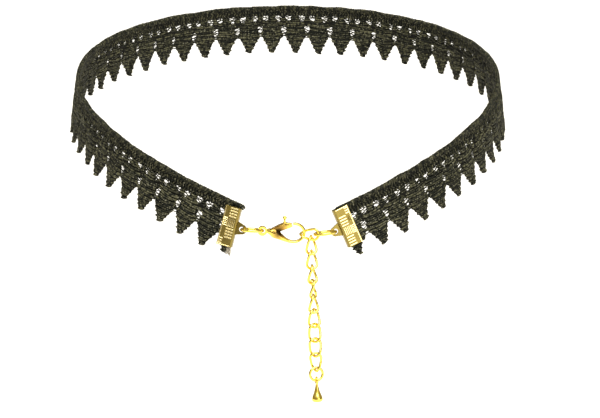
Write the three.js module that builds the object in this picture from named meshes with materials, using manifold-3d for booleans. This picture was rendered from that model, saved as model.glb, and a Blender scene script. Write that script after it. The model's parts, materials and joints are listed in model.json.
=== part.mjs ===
// Choker necklace of pierced lace with gold fittings, in the form that it takes when it is worn.
// Millimetres, +Z up. The origin is on the axis of the neck, at half the height of the lace.
// The front of the neck is at +Y. The clasp is at the back of the neck, at -Y.
import * as THREE from 'three';
import Module from 'manifold-3d';
import { mergeVertices } from 'three/addons/utils/BufferGeometryUtils.js';

const wasm = await Module();
wasm.setup();

// Lace band: a straight strip of pointed teeth, laid round a neck that widens downwards.
const laceWidth = 14;
const laceThickness = 1;
const toothPitch = 6.75;
const toothCount = 52;
const flareAngle = 7.64;
const tailLeft = 0.3;
const tailRight = 1.9;

// Ribbon clamps: a plate folded round each end of the lace, with a loop on its spine.
const clampLength = 10.3;
const clampWidth = 4;
const clampPlate = 0.4;
const clampPlay = 0.2;
const ribHeight = 0.15;
const ribShare = 0.5;
const loopBase = 3.6;
const loopPlate = 0.5;
const loopReach = 1.3;
const loopWall = 0.6;

// Jump rings between the loops, the clasp and the chain.
const jumpRingOuter = 6.2;
const jumpRingWire = 0.8;
const jumpRingTilt = 8;
const ringPlay = 0.3;

// Lobster clasp: an eye, a body that runs on into the hook, and a lever on a rivet.
const claspReach = 11;
const claspHeight = 5.4;
const claspDepth = 3;
const claspStandoff = 1;
const eyeWall = 0.5;
const eyeDepth = 1.1;
const leverThickness = 1.3;
const leverPlay = 0.2;
const hubRadius = 0.8;
const rivetRadius = 0.35;
const rivetPlay = 0.1;
const thumbRadius = 0.5;

// Extender chain of twisted links, its end ring and the small drop.
const linkLength = 5.3;
const linkWidth = 3.5;
const linkWire = 0.65;
const linkPlay = 0.25;
const linkTwist = 45;
const chainLean = 2;
const chainSag = 0.7;
const chainShift = 0.4;
const endRingOuter = 4;
const bailWire = 0.5;
const dropLength = 4.8;
const dropWidth = 2.8;

// Facets of the round pieces. The curve segments are those of one arc of an outline.
const wireSides = 6;
const linkSegments = 14;
const ringSegments = 16;
const roundSegments = 12;
const sweepSides = 10;
const thumbSides = 10;
const thumbRows = 8;
const foldCurves = 2;
const slotCurves = 3;
const leverCurves = 4;

// Half of the gap between two teeth, from its top to the tip of a tooth.
// across: share of the pitch, from the middle of the gap; down: share of the lace's width.
const gapOutline = [
  { across: 0.085, down: 0.43 },
  { across: 0.105, down: 0.48 },
  { across: 0.035, down: 0.58 },
  { across: 0.035, down: 0.64 },
  { across: 0.19, down: 0.78 },
  { across: 0.30, down: 0.89 },
  { across: 0.355, down: 0.96 },
  { across: 0.43, down: 0.997 },
];

// One of the two upper holes of a cell, in the same shares, from the hole's own middle line.
const holeShift = 0.22;
const holeOutline = [
  { across: -0.12, down: 0.215 },
  { across: 0.12, down: 0.205 },
  { across: 0.11, down: 0.26 },
  { across: 0, down: 0.34 },
  { across: -0.11, down: 0.26 },
];

// Where each clamp sits. inset: from the last tooth's centre line towards the front.
// down: share of the lace's width from its top edge. tilt: degrees in the plane of the lace.
const clampPlaces = {
  left: { side: -1, inset: 1.575, down: 0.45, tilt: 8.8 },
  right: { side: 1, inset: -0.825, down: 0.385, tilt: 0 },
};

// Raised ribs of a clamp's front plate. along: shares of its length; across: shares of its width.
const clampRibs = [
  { count: 4, alongFrom: 0.05, alongTo: 0.28, acrossFrom: 0.45, acrossTo: 0.86 },
  { count: 4, alongFrom: 0.51, alongTo: 0.75, acrossFrom: 0.45, acrossTo: 0.86 },
  { count: 5, alongFrom: 0.22, alongTo: 0.46, acrossFrom: 0.06, acrossTo: 0.36 },
  { count: 3, alongFrom: 0.77, alongTo: 0.95, acrossFrom: 0.06, acrossTo: 0.36 },
];

// Sections of the clasp from the eye round to the nose of the hook. x: share of the reach.
// z and across: shares of the height, across is half the section. deep: half, share of the depth.
const claspSections = [
  { x: 0.080, z: 0.000, across: 0.078, deep: 0.15 },
  { x: 0.127, z: -0.004, across: 0.115, deep: 0.26 },
  { x: 0.191, z: -0.022, across: 0.181, deep: 0.40 },
  { x: 0.264, z: -0.065, across: 0.244, deep: 0.49 },
  { x: 0.336, z: -0.148, across: 0.231, deep: 0.48 },
  { x: 0.400, z: -0.241, across: 0.176, deep: 0.43 },
  { x: 0.473, z: -0.333, across: 0.126, deep: 0.36 },
  { x: 0.555, z: -0.417, across: 0.093, deep: 0.29 },
  { x: 0.645, z: -0.481, across: 0.078, deep: 0.25 },
  { x: 0.736, z: -0.500, across: 0.070, deep: 0.23 },
  { x: 0.827, z: -0.454, across: 0.069, deep: 0.23 },
  { x: 0.905, z: -0.343, across: 0.069, deep: 0.23 },
  { x: 0.955, z: -0.194, across: 0.069, deep: 0.23 },
  { x: 0.966, z: -0.028, across: 0.069, deep: 0.23 },
  { x: 0.945, z: 0.139, across: 0.069, deep: 0.23 },
  { x: 0.891, z: 0.269, across: 0.067, deep: 0.23 },
  { x: 0.818, z: 0.348, across: 0.065, deep: 0.23 },
  { x: 0.759, z: 0.367, across: 0.063, deep: 0.22 },
  { x: 0.705, z: 0.361, across: 0.060, deep: 0.21 },
];

// The lever in shares of the clasp's reach and height. The tip lies on an arc about the rivet.
const pivotPlace = { x: 0.264, z: 0.028 };
const slotEnd = 0.51;
const hubArc = { from: 100, to: 270 };
const leverTip = { reach: 0.445, from: 14, to: 24 };
const leverBack = [
  { x: 0.600, z: 0.400 },
  { x: 0.535, z: 0.415 },
  { x: 0.530, z: 0.650 },
  { x: 0.490, z: 0.650 },
  { x: 0.470, z: 0.395 },
  { x: 0.360, z: 0.300 },
];
const thumbPlace = { x: 0.510, z: 0.650 };
const rivetShare = 0.9;

// Turn of each link's middle about the chain, in degrees, from lying flat against the neck.
const linkTurns = [45, 42, 60, 80, 55, 28, 5, -12, -30];

// How far the bail's lower side is above the drop's top, in wires of the bail.
const bailSink = 0.6;

// Outline of the drop. radius: share of half its width; height: share of its length.
const dropOutline = [
  { radius: 0, height: 1 },
  { radius: 0.2, height: 0.97 },
  { radius: 0.34, height: 0.78 },
  { radius: 0.62, height: 0.52 },
  { radius: 0.92, height: 0.3 },
  { radius: 1, height: 0.18 },
  { radius: 0.78, height: 0.05 },
  { radius: 0, height: 0 },
];

// Half the arc of a clamp's loop that its straight sides run on to, in degrees.
const loopArc = 60;
const quarterTurn = 90;

// Places closer together than the first are one place, and corners than the second one corner.
const snapLength = 1e-6;
const weldLength = 1e-4;

// The neck is sought within this share of a first guess.
const neckTrial = 0.1;

// The lace's directions are taken over this share of a tooth's pitch.
const probeShare = 0.1;

const lastTooth = (toothCount - 1) * toothPitch / 2;
const clampGap = laceThickness + 2 * clampPlay;
const clampThickness = clampGap + 2 * clampPlate;
const jumpRingAxis = jumpRingOuter - jumpRingWire;
const loopHole = jumpRingWire / 2 + ringPlay;
const eyeHole = jumpRingWire / 2 + ringPlay;
const linkAxis = linkLength - linkWire;
const linkPitch = linkAxis - linkWire - linkPlay;
const bailOuter = linkWire + 2 * linkPlay + 2 * bailWire;

const thread = new THREE.MeshStandardMaterial({ color: 0x14150f, roughness: 0.9, metalness: 0 });
const brass = new THREE.MeshStandardMaterial({ color: 0xb39a52, roughness: 0.4, metalness: 1 });
const gold = new THREE.MeshStandardMaterial({ color: 0xe6c65c, roughness: 0.25, metalness: 1 });

const radians = THREE.MathUtils.degToRad;
const flare = radians(flareAngle);
const vector = (x, y, z) => new THREE.Vector3(x, y, z);

// A closed geometry as a solid that can be cut and joined.
function solidOf(geometry) {
  const bare = geometry.clone();
  bare.deleteAttribute('normal');
  bare.deleteAttribute('uv');
  const merged = mergeVertices(bare, weldLength);
  const vertProperties = new Float32Array(merged.attributes.position.array);
  const triVerts = new Uint32Array(merged.index.array);
  return new wasm.Manifold(new wasm.Mesh({ numProp: 3, vertProperties, triVerts }));
}

function geometryOf(solid) {
  const { vertProperties, triVerts } = solid.getMesh();
  const geometry = new THREE.BufferGeometry();
  geometry.setAttribute('position', new THREE.BufferAttribute(vertProperties, 3));
  geometry.setIndex(new THREE.BufferAttribute(triVerts, 1));
  return geometry;
}

function joined(geometries) {
  return geometryOf(geometries.map(solidOf).reduce((sum, each) => sum.add(each)));
}

function cut(geometry, tools) {
  const whole = solidOf(geometry);
  return geometryOf(tools.map(solidOf).reduce((rest, tool) => rest.subtract(tool), whole));
}

function node(name, geometry, material, frame = new THREE.Matrix4()) {
  const mesh = new THREE.Mesh(geometry, material.clone());
  mesh.name = name;
  frame.decompose(mesh.position, mesh.quaternion, mesh.scale);
  mesh.updateMatrix();
  return mesh;
}

function frameFrom(x, y, z, origin) {
  return new THREE.Matrix4().makeBasis(x, y, z).setPosition(origin);
}

// A shape in the XZ plane, as thick as asked along Y, with its middle at Y = 0.
function plateXZ(shape, thickness, curveSegments = roundSegments / 2) {
  const options = { depth: thickness, bevelEnabled: false, curveSegments };
  const geometry = new THREE.ExtrudeGeometry(shape, options);
  geometry.rotateX(Math.PI / 2);
  geometry.translate(0, thickness / 2, 0);
  return geometry;
}

function pinAlongY(radius, length, x, z) {
  const geometry = new THREE.CylinderGeometry(radius, radius, length, roundSegments);
  geometry.translate(x, 0, z);
  return geometry;
}

// A point of the strip laid round the neck. along: from the middle of the front.
// down: from the top edge. out: away from the neck. The cone's tip is apex above the top edge.
function bend(along, down, out, neckRadius) {
  const apex = neckRadius / Math.sin(flare);
  const fromTip = Math.hypot(along, apex + down);
  const turn = Math.atan2(along, apex + down) / Math.sin(flare);
  const radius = fromTip * Math.sin(flare) + out * Math.cos(flare);
  const height = out * Math.sin(flare) - (fromTip - apex) * Math.cos(flare);
  return vector(radius * Math.sin(turn), radius * Math.cos(turn), height);
}

// The frame of a clamp: X towards the clasp, Z away from the neck, Y along the clamp.
// The right clamp is the same piece as the left one, turned half round.
function clampFrame(place, neckRadius) {
  const along = place.side * (lastTooth - place.inset);
  const down = place.down * laceWidth;
  const origin = bend(along, down, 0, neckRadius);
  const step = probeShare * toothPitch;
  const z = bend(along, down, step, neckRadius).sub(origin).normalize();
  const x = bend(along + place.side * step, down, 0, neckRadius).sub(origin);
  x.addScaledVector(z, -x.dot(z)).normalize();
  x.applyAxisAngle(z, radians(place.tilt));
  return frameFrom(x, z.clone().cross(x), z, origin);
}

const loopCentre = vector(clampWidth / 2 + loopReach, 0, 0);

// Length from one clamp's loop to the other's, when the rings, the clasp and a link are pulled out.
const hookWall = claspSections.reduce((far, each) => (each.x > far.x ? each : far));
const hookWallInner = claspReach * hookWall.x - claspHeight * hookWall.across;
const linkStart = hookWallInner - linkPlay - linkWire / 2;
const ringInLink = linkStart + linkAxis - linkWire / 2 - linkPlay - jumpRingWire / 2;
const leftRun = Math.sqrt(jumpRingAxis ** 2 - claspStandoff ** 2);
const rightRun = Math.sqrt(jumpRingAxis ** 2 - claspStandoff ** 2 - chainSag ** 2);
const closingLength = leftRun + ringInLink + rightRun;

function loopSpan(neckRadius) {
  const left = loopCentre.clone().applyMatrix4(clampFrame(clampPlaces.left, neckRadius));
  const right = loopCentre.clone().applyMatrix4(clampFrame(clampPlaces.right, neckRadius));
  return left.distanceTo(right);
}

// The neck that the fastened necklace fits, halved for until no number lies between its bounds.
function fittedNeck() {
  const round = (2 * lastTooth + closingLength) / (2 * Math.PI);
  let tight = (1 - neckTrial) * round;
  let loose = (1 + neckTrial) * round;
  let middle = round;
  while (middle > tight && middle < loose) {
    if (loopSpan(middle) > closingLength) loose = middle;
    else tight = middle;
    middle = (tight + loose) / 2;
  }
  return tight;
}

const neckRadius = fittedNeck();
const laceDrop = -bend(lastTooth + tailRight, laceWidth, 0, neckRadius).z;
const lift = new THREE.Matrix4().makeTranslation(0, 0, laceDrop / 2);
const laid = (along, down, out) => bend(along, down, out, neckRadius).applyMatrix4(lift);

// One cell of the lace in the flat: a contour and its holes, in millimetres from the cell's middle.
function laceCell() {
  const half = toothPitch / 2;
  const flat = ({ across, down }, side, shift = 0) => (
    [side * (across + shift) * toothPitch, down * laceWidth]);
  const right = gapOutline.map((point) => flat(point, 1));
  const left = gapOutline.map((point) => flat(point, -1)).reverse();
  const gap = [...right.reverse(), ...left.reverse()];
  const contour = [[-half, 0], [half, 0], [half, laceWidth], ...gap, [-half, laceWidth]];
  const holes = [-1, 1].map((side) => {
    const outline = holeOutline.map((point) => flat(point, side, holeShift));
    return side < 0 ? outline : outline.reverse();
  });
  return { contour, holes };
}

// The end of the strip beyond the last tooth's centre line, cut off square at the tail.
function laceTail(side, tail) {
  const outline = [...gapOutline, { across: 0.5, down: 1 }]
    .map(({ across, down }) => [(0.5 - across) * toothPitch, down * laceWidth]);
  const outside = outline.findLastIndex(([x]) => x > tail);
  const [before, after] = outline.slice(outside, outside + 2);
  const part = (before[0] - tail) / (before[0] - after[0]);
  const cutAt = [tail, before[1] + part * (after[1] - before[1])];
  const contour = [[0, 0], [tail, 0], cutAt, ...outline.slice(outside + 1)];
  return { contour: contour.map(([x, y]) => [side * x, y]), holes: [] };
}

// Adds one flat piece of lace at a place along the strip: two faces, and walls on its free edges.
function addLacePiece(triangles, { contour, holes }, place, isFree) {
  const points = (ring) => ring.map(([x, y]) => new THREE.Vector2(x, y));
  const isClockwise = (ring) => THREE.ShapeUtils.isClockWise(points(ring));
  const outer = isClockwise(contour) ? [...contour].reverse() : contour;
  const inner = holes.map((ring) => (isClockwise(ring) ? ring : [...ring].reverse()));
  const flat = [outer, ...inner].flat();
  const along = (index) => Math.round((place + flat[index][0]) / snapLength) * snapLength;
  const face = (index, out) => laid(along(index), flat[index][1], out * laceThickness / 2);
  THREE.ShapeUtils.triangulateShape(points(outer), inner.map(points)).forEach(([a, b, c]) => {
    triangles.push(face(a, 1), face(b, 1), face(c, 1));
    triangles.push(face(c, -1), face(b, -1), face(a, -1));
  });
  let start = 0;
  [outer, ...inner].forEach((ring) => {
    ring.forEach((_, index) => {
      const a = start + index;
      const b = start + (index + 1) % ring.length;
      if (!isFree(flat[a], flat[b])) return;
      triangles.push(face(b, 1), face(a, 1), face(a, -1));
      triangles.push(face(b, 1), face(a, -1), face(b, -1));
    });
    start += ring.length;
  });
}

function geometryFromTriangles(corners) {
  const geometry = new THREE.BufferGeometry().setFromPoints(corners);
  return mergeVertices(geometry, weldLength);
}

// What the clamp's spine takes away from the end of the lace.
function clampRoom(place) {
  const room = new THREE.BoxGeometry(clampWidth, clampLength + 2 * clampPlay, clampThickness);
  room.translate(clampWidth - clampPlate - clampPlay, 0, 0);
  return room.applyMatrix4(lift.clone().multiply(clampFrame(place, neckRadius)));
}

function laceBand() {
  const triangles = [];
  const cell = laceCell();
  const half = toothPitch / 2;
  const joint = (a, b, x) => Math.abs(a[0] - x) < snapLength && Math.abs(b[0] - x) < snapLength;
  for (let index = 0; index < toothCount - 1; index += 1) {
    const place = -lastTooth + (index + 0.5) * toothPitch;
    addLacePiece(triangles, cell, place, (a, b) => !joint(a, b, half) && !joint(a, b, -half));
  }
  addLacePiece(triangles, laceTail(-1, tailLeft), -lastTooth, (a, b) => !joint(a, b, 0));
  addLacePiece(triangles, laceTail(1, tailRight), lastTooth, (a, b) => !joint(a, b, 0));
  return cut(geometryFromTriangles(triangles), Object.values(clampPlaces).map(clampRoom));
}

function clampFold() {
  const outer = clampWidth / 2;
  const face = clampThickness / 2;
  const corner = clampPlate;
  const shape = new THREE.Shape();
  shape.moveTo(-outer, face);
  shape.lineTo(-outer, face - clampPlate);
  shape.lineTo(outer - clampPlate, face - clampPlate);
  shape.lineTo(outer - clampPlate, clampPlate - face);
  shape.lineTo(-outer, clampPlate - face);
  shape.lineTo(-outer, -face);
  shape.lineTo(outer - corner, -face);
  shape.absarc(outer - corner, corner - face, corner, -Math.PI / 2, 0, false);
  shape.absarc(outer - corner, face - corner, corner, 0, Math.PI / 2, false);
  return plateXZ(shape, clampLength, foldCurves);
}

function clampLoop() {
  const start = clampWidth / 2 - clampPlate / 2;
  const round = loopHole + loopWall;
  const shape = new THREE.Shape();
  shape.moveTo(start, loopBase / 2);
  shape.lineTo(start, -loopBase / 2);
  shape.absarc(loopCentre.x, 0, round, -radians(loopArc), radians(loopArc), false);
  const hole = new THREE.Path();
  hole.absarc(loopCentre.x, 0, loopHole, 0, 2 * Math.PI, false);
  shape.holes.push(hole);
  const options = { depth: loopPlate, bevelEnabled: false, curveSegments: roundSegments / 2 };
  return new THREE.ExtrudeGeometry(shape, options).translate(0, 0, -loopPlate / 2);
}

function clampRibBoxes() {
  const sunk = clampPlate / 2;
  const boxes = [];
  clampRibs.forEach(({ count, alongFrom, alongTo, acrossFrom, acrossTo }) => {
    const pitch = (alongTo - alongFrom) * clampLength / count;
    const width = (acrossTo - acrossFrom) * clampWidth;
    const middle = ((acrossFrom + acrossTo) / 2 - 0.5) * clampWidth;
    for (let index = 0; index < count; index += 1) {
      const rib = new THREE.BoxGeometry(width, ribShare * pitch, ribHeight + sunk);
      const along = (0.5 - alongFrom) * clampLength - (index + 0.5) * pitch;
      rib.translate(middle, along, clampThickness / 2 + (ribHeight - sunk) / 2);
      boxes.push(rib);
    }
  });
  return boxes;
}

function ribbonClamp() {
  return joined([clampFold(), clampLoop(), ...clampRibBoxes()]);
}

// A tube along a run of sections in the XZ plane, with closed ends.
function sweepXZ(sections, sides) {
  const corners = [];
  const rings = sections.map((section, index) => {
    const before = sections[Math.max(index - 1, 0)];
    const after = sections[Math.min(index + 1, sections.length - 1)];
    const ahead = vector(after.x - before.x, 0, after.z - before.z).normalize();
    const up = vector(-ahead.z, 0, ahead.x);
    return Array.from({ length: sides }, (_, side) => {
      const angle = 2 * Math.PI * side / sides;
      const point = vector(section.x, section.deep * Math.sin(angle), section.z);
      return point.addScaledVector(up, section.across * Math.cos(angle));
    });
  });
  for (let index = 1; index < rings.length; index += 1) {
    const [from, to] = [rings[index - 1], rings[index]];
    for (let side = 0; side < sides; side += 1) {
      const next = (side + 1) % sides;
      corners.push(from[side], to[next], from[next], from[side], to[side], to[next]);
    }
  }
  const last = rings.length - 1;
  for (let side = 1; side < sides - 1; side += 1) {
    corners.push(rings[0][0], rings[0][side], rings[0][side + 1]);
    corners.push(rings[last][0], rings[last][side + 1], rings[last][side]);
  }
  return geometryFromTriangles(corners);
}

const pivot = { x: pivotPlace.x * claspReach, z: pivotPlace.z * claspHeight };

function rivetBore() {
  return pinAlongY(rivetRadius + rivetPlay, 2 * claspDepth, pivot.x, pivot.z);
}

function claspSlot() {
  const room = hubRadius + leverPlay;
  const top = claspHeight;
  const shape = new THREE.Shape();
  shape.moveTo(slotEnd * claspReach, top);
  shape.lineTo(pivot.x - room, top);
  shape.lineTo(pivot.x - room, pivot.z);
  shape.absarc(pivot.x, pivot.z, room, Math.PI, 1.5 * Math.PI, false);
  shape.lineTo(slotEnd * claspReach, pivot.z - room);
  return plateXZ(shape, leverThickness + 2 * leverPlay, slotCurves);
}

function claspEye() {
  const shape = new THREE.Shape();
  shape.absarc(0, 0, eyeHole + eyeWall, 0, 2 * Math.PI, false);
  return plateXZ(shape, eyeDepth);
}

function claspBody() {
  const sections = claspSections.map(({ x, z, across, deep }) => ({
    x: x * claspReach,
    z: z * claspHeight,
    across: across * claspHeight,
    deep: deep * claspDepth,
  }));
  const whole = joined([sweepXZ(sections, sweepSides), claspEye()]);
  const eyeBore = pinAlongY(eyeHole, 2 * claspDepth, 0, 0);
  return cut(whole, [claspSlot(), eyeBore, rivetBore()]);
}

function claspLever() {
  const tipReach = leverTip.reach * claspReach;
  const shape = new THREE.Shape();
  const back = leverBack.map(({ x, z }) => new THREE.Vector2(x * claspReach, z * claspHeight));
  shape.setFromPoints(back);
  const arc = (radius, { from, to }) => (
    shape.absarc(pivot.x, pivot.z, radius, radians(from), radians(to), false));
  arc(hubRadius, hubArc);
  arc(tipReach, leverTip);
  const thumb = new THREE.SphereGeometry(thumbRadius, thumbSides, thumbRows);
  thumb.translate(thumbPlace.x * claspReach, 0, thumbPlace.z * claspHeight);
  return cut(joined([plateXZ(shape, leverThickness, leverCurves), thumb]), [rivetBore()]);
}

function claspRivet() {
  return pinAlongY(rivetRadius, rivetShare * claspDepth, pivot.x, pivot.z);
}

// A ring in the XY plane.
function wireRing(outer, wire) {
  return new THREE.TorusGeometry((outer - wire) / 2, wire / 2, wireSides, ringSegments);
}

// A link along Z, turned evenly from one end to the other so that equal links pass through it.
function twistedLink() {
  const bendRadius = (linkWidth - linkWire) / 2;
  const geometry = new THREE.TorusGeometry(bendRadius, linkWire / 2, wireSides, linkSegments);
  geometry.rotateX(Math.PI / 2);
  const straight = (linkLength - linkWidth) / 2;
  const position = geometry.attributes.position;
  for (let index = 0; index < position.count; index += 1) {
    const point = vector(0, 0, 0).fromBufferAttribute(position, index);
    if (Math.abs(point.z) > snapLength) point.z += Math.sign(point.z) * straight;
    point.applyAxisAngle(vector(0, 0, 1), radians(linkTwist) * point.z * 2 / linkLength);
    position.setXYZ(index, point.x, point.y, point.z);
  }
  return geometry;
}

function endDrop() {
  const profile = dropOutline.map(({ radius, height }) => (
    new THREE.Vector2(radius * dropWidth / 2, (height - 1) * dropLength)));
  const body = new THREE.LatheGeometry(profile.reverse(), roundSegments);
  body.rotateX(Math.PI / 2);
  const bail = wireRing(bailOuter, bailWire).rotateX(Math.PI / 2).rotateZ(Math.PI / 2);
  body.translate(0, 0, bailSink * bailWire - bailOuter / 2);
  return joined([body, bail]);
}

const clampWorld = {
  left: lift.clone().multiply(clampFrame(clampPlaces.left, neckRadius)),
  right: lift.clone().multiply(clampFrame(clampPlaces.right, neckRadius)),
};
const loopLeft = loopCentre.clone().applyMatrix4(clampWorld.left);
const loopRight = loopCentre.clone().applyMatrix4(clampWorld.right);

// The closing frame: its X runs from the left clamp's loop to the right one's, its Z is up.
function closingFrame() {
  const x = loopRight.clone().sub(loopLeft).normalize();
  const z = vector(0, 0, 1).addScaledVector(x, -x.z).normalize();
  return frameFrom(x, z.clone().cross(x), z, loopLeft);
}

const closing = closingFrame();
const inClosing = (x, y, z) => vector(x, y, z).applyMatrix4(closing);
const axisIn = (frame, index) => vector(0, 0, 0).setFromMatrixColumn(frame, index);

// A ring stretched between two points, lying almost level, tilted a little about its long way.
function levelRingFrame(from, to) {
  const x = to.clone().sub(from).normalize();
  const level = axisIn(closing, 2);
  const z = level.addScaledVector(x, -level.dot(x)).normalize();
  z.applyAxisAngle(x, -radians(jumpRingTilt));
  return frameFrom(x, z.clone().cross(x), z, from.clone().add(to).divideScalar(2));
}

const eyePlace = inClosing(leftRun, -claspStandoff, 0);
const claspFrame = closing.clone().setPosition(eyePlace);
const inClasp = (x, y, z) => vector(x, y, z).applyMatrix4(claspFrame);

// The first link lies along the clasp, level at the hook and upright at the ring.
function firstLinkFrame() {
  const z = axisIn(claspFrame, 0);
  const x = axisIn(claspFrame, 2).applyAxisAngle(z, -radians(linkTwist));
  return frameFrom(x, z.clone().cross(x), z, inClasp(linkStart + linkAxis / 2, 0, -chainSag));
}

// The chain hangs against the neck: it leans out by the flare, and a little to the right.
function chainFrame() {
  const down = vector(Math.tan(radians(chainLean)), -Math.tan(flare), -1).normalize();
  const z = down.clone().negate();
  const y = vector(0, 1, 0).addScaledVector(z, -z.y).normalize();
  const sideTurn = radians(linkTwist) * (1 - 2 * chainShift / linkLength);
  const sideOffset = (linkWidth - linkWire) / 2;
  const outwards = -sideOffset * Math.sin(sideTurn);
  const below = -sideOffset * Math.cos(sideTurn) - chainSag;
  const carrier = inClasp(linkStart + linkAxis / 2 + chainShift, outwards, below);
  const top = carrier.addScaledVector(z, linkWire + linkPlay);
  return frameFrom(y.clone().cross(z), y, z, top);
}

const chain = chainFrame();

function onChain(down, turn) {
  return chain.clone()
    .multiply(new THREE.Matrix4().makeTranslation(0, 0, -down))
    .multiply(new THREE.Matrix4().makeRotationZ(radians(turn)));
}

function chainLinks() {
  return linkTurns.map((turn, index) => {
    const down = index * linkPitch + linkAxis / 2;
    return node(`chain_link_${index + 2}`, twistedLink(), gold, onChain(down, turn));
  });
}

// The end ring hangs in the last link, square to that link's lower end.
function endPieces() {
  const lastTurn = linkTurns[linkTurns.length - 1] - linkTwist;
  const ringAxis = endRingOuter - linkWire;
  const ringTop = (linkTurns.length - 1) * linkPitch + linkAxis - linkWire - linkPlay;
  const ringTurn = lastTurn + quarterTurn;
  const upright = new THREE.Matrix4().makeRotationX(Math.PI / 2);
  const ringFrame = onChain(ringTop + ringAxis / 2, ringTurn).multiply(upright);
  const bailTop = ringTop + ringAxis - (linkWire + bailWire) / 2 - linkPlay;
  const dropFrame = onChain(bailTop + (bailOuter - bailWire) / 2, ringTurn);
  return [
    node('end_ring', wireRing(endRingOuter, linkWire), gold, ringFrame),
    node('end_drop', endDrop(), gold, dropFrame),
  ];
}

const necklace = new THREE.Group();
necklace.add(node('lace_band', laceBand(), thread));
necklace.add(node('clamp_left', ribbonClamp(), brass, clampWorld.left));
necklace.add(node('clamp_right', ribbonClamp(), brass, clampWorld.right));

const ringInLinkPlace = inClasp(ringInLink, 0, -chainSag);
const jumpRing = wireRing(jumpRingOuter, jumpRingWire);
necklace.add(node('jump_ring_left', jumpRing, gold, levelRingFrame(loopLeft, eyePlace)));
necklace.add(node('jump_ring_right', jumpRing, gold, levelRingFrame(ringInLinkPlace, loopRight)));

necklace.add(node('clasp_body', claspBody(), gold, claspFrame));
necklace.add(node('clasp_lever', claspLever(), gold, claspFrame));
necklace.add(node('clasp_rivet', claspRivet(), gold, claspFrame));

necklace.add(node('chain_link_1', twistedLink(), gold, firstLinkFrame()));
necklace.add(...chainLinks());
necklace.add(...endPieces());

export default necklace;
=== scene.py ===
# %% [markdown]
# # A lace choker with gold fittings
#
# The necklace is a narrow strip of machine lace with pointed teeth, closed at the nape by a lobster
# clasp, with an extender chain that ends in a small drop. The CAD model in the frame holds every
# solid at its real size. This lesson dresses it: thread for the lace, smooth wire for the links,
# relief for the clamps, and light for all of it.
#
# Lengths are written in millimetres where a maker would measure them, and `mm` turns them into
# Blender's metres.

import json
import math

import bmesh
import bpy
from mathutils import Matrix, Vector
from mathutils.geometry import tessellate_polygon

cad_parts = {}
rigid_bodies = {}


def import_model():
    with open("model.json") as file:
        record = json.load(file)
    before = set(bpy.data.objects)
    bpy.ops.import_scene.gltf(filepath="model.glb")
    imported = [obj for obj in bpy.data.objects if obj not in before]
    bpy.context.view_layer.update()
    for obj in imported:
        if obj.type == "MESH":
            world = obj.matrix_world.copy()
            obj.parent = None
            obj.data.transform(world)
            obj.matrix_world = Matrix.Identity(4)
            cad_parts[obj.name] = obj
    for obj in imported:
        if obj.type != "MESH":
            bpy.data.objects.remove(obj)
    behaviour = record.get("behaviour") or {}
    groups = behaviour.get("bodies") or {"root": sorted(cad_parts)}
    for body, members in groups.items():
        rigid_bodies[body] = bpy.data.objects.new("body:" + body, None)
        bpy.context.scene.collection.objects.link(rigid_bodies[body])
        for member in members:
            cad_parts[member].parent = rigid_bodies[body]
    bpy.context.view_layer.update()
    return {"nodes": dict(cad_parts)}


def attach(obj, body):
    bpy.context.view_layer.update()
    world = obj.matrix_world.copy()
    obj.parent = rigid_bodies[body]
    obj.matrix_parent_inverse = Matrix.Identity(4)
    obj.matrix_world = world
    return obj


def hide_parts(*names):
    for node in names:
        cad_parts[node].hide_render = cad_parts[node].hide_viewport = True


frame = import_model()
mm = 0.001
print("nodes in the frame:", len(frame["nodes"]))

# %% [markdown]
# ## The neck that the lace is laid round
#
# A real choker is sewn flat and takes its form from the neck, which widens downwards. A straight
# strip laid on such a neck is a strip laid on a cone, and it is not bent within its own plane. So all
# lace is drawn flat here, with x along the strip, y up and z outwards, and one Geometry Nodes group
# wraps it. A simulation would give the same form, because lace hardly stretches.

# %% Sizes of the strip
lace_width = 14.0
tooth_pitch = 6.75
tooth_count = 52
neck_radius = 55.63012
lace_lift = 23.63985
flare = math.radians(7.64)
apex = neck_radius / math.sin(flare)
last_tooth = (tooth_count - 1) * tooth_pitch / 2
print("lace from end tooth to end tooth:", 2 * last_tooth, "mm")


# %% [markdown]
# ## Helpers for Geometry Nodes
#
# A node tree is easier to read as a list of steps than as a picture in code. `step` adds a node and
# feeds its sockets in order, and `new_tree` gives a tree its named inputs. `grown` runs a tree on a
# mesh and keeps the plain mesh that comes out, because the model that leaves Blender holds no
# modifiers.

# %% Tree helpers
def feed(tree, socket, source):
    """Gives a socket a value, or joins another node's output to it."""
    if isinstance(source, bpy.types.NodeSocket):
        tree.links.new(source, socket)
    elif source is not None:
        socket.default_value = source


def step(tree, kind, *sources, **settings):
    """Adds a node with its settings, and feeds its sockets in order."""
    node = tree.nodes.new(kind)
    for name, value in settings.items():
        setattr(node, name, value)
    sockets = [socket for socket in node.inputs if socket.enabled]
    for socket, source in zip(sockets, sources):
        for each in source if isinstance(source, list) else [source]:
            feed(tree, socket, each)
    return next(socket for socket in node.outputs if socket.enabled)


def calc(tree, operation, *sources):
    """A step of plain arithmetic."""
    return step(tree, "ShaderNodeMath", *sources, operation=operation)


def new_tree(title, **inputs):
    """A tree with a geometry input, named inputs of the kinds given, and a geometry output."""
    tree = bpy.data.node_groups.new(title, "GeometryNodeTree")
    face = tree.interface
    face.new_socket("Geometry", in_out="INPUT", socket_type="NodeSocketGeometry")
    for name, kind in inputs.items():
        face.new_socket(name, in_out="INPUT", socket_type="NodeSocket" + kind)
    face.new_socket("Geometry", in_out="OUTPUT", socket_type="NodeSocketGeometry")
    given = tree.nodes.new("NodeGroupInput").outputs
    end = tree.nodes.new("NodeGroupOutput")
    return tree, given, end.inputs[0]


def shape_of(tree, source):
    """The mesh of the object that a tree is given."""
    node = tree.nodes.new("GeometryNodeObjectInfo")
    tree.links.new(source, node.inputs["Object"])
    return node.outputs["Geometry"]


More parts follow.
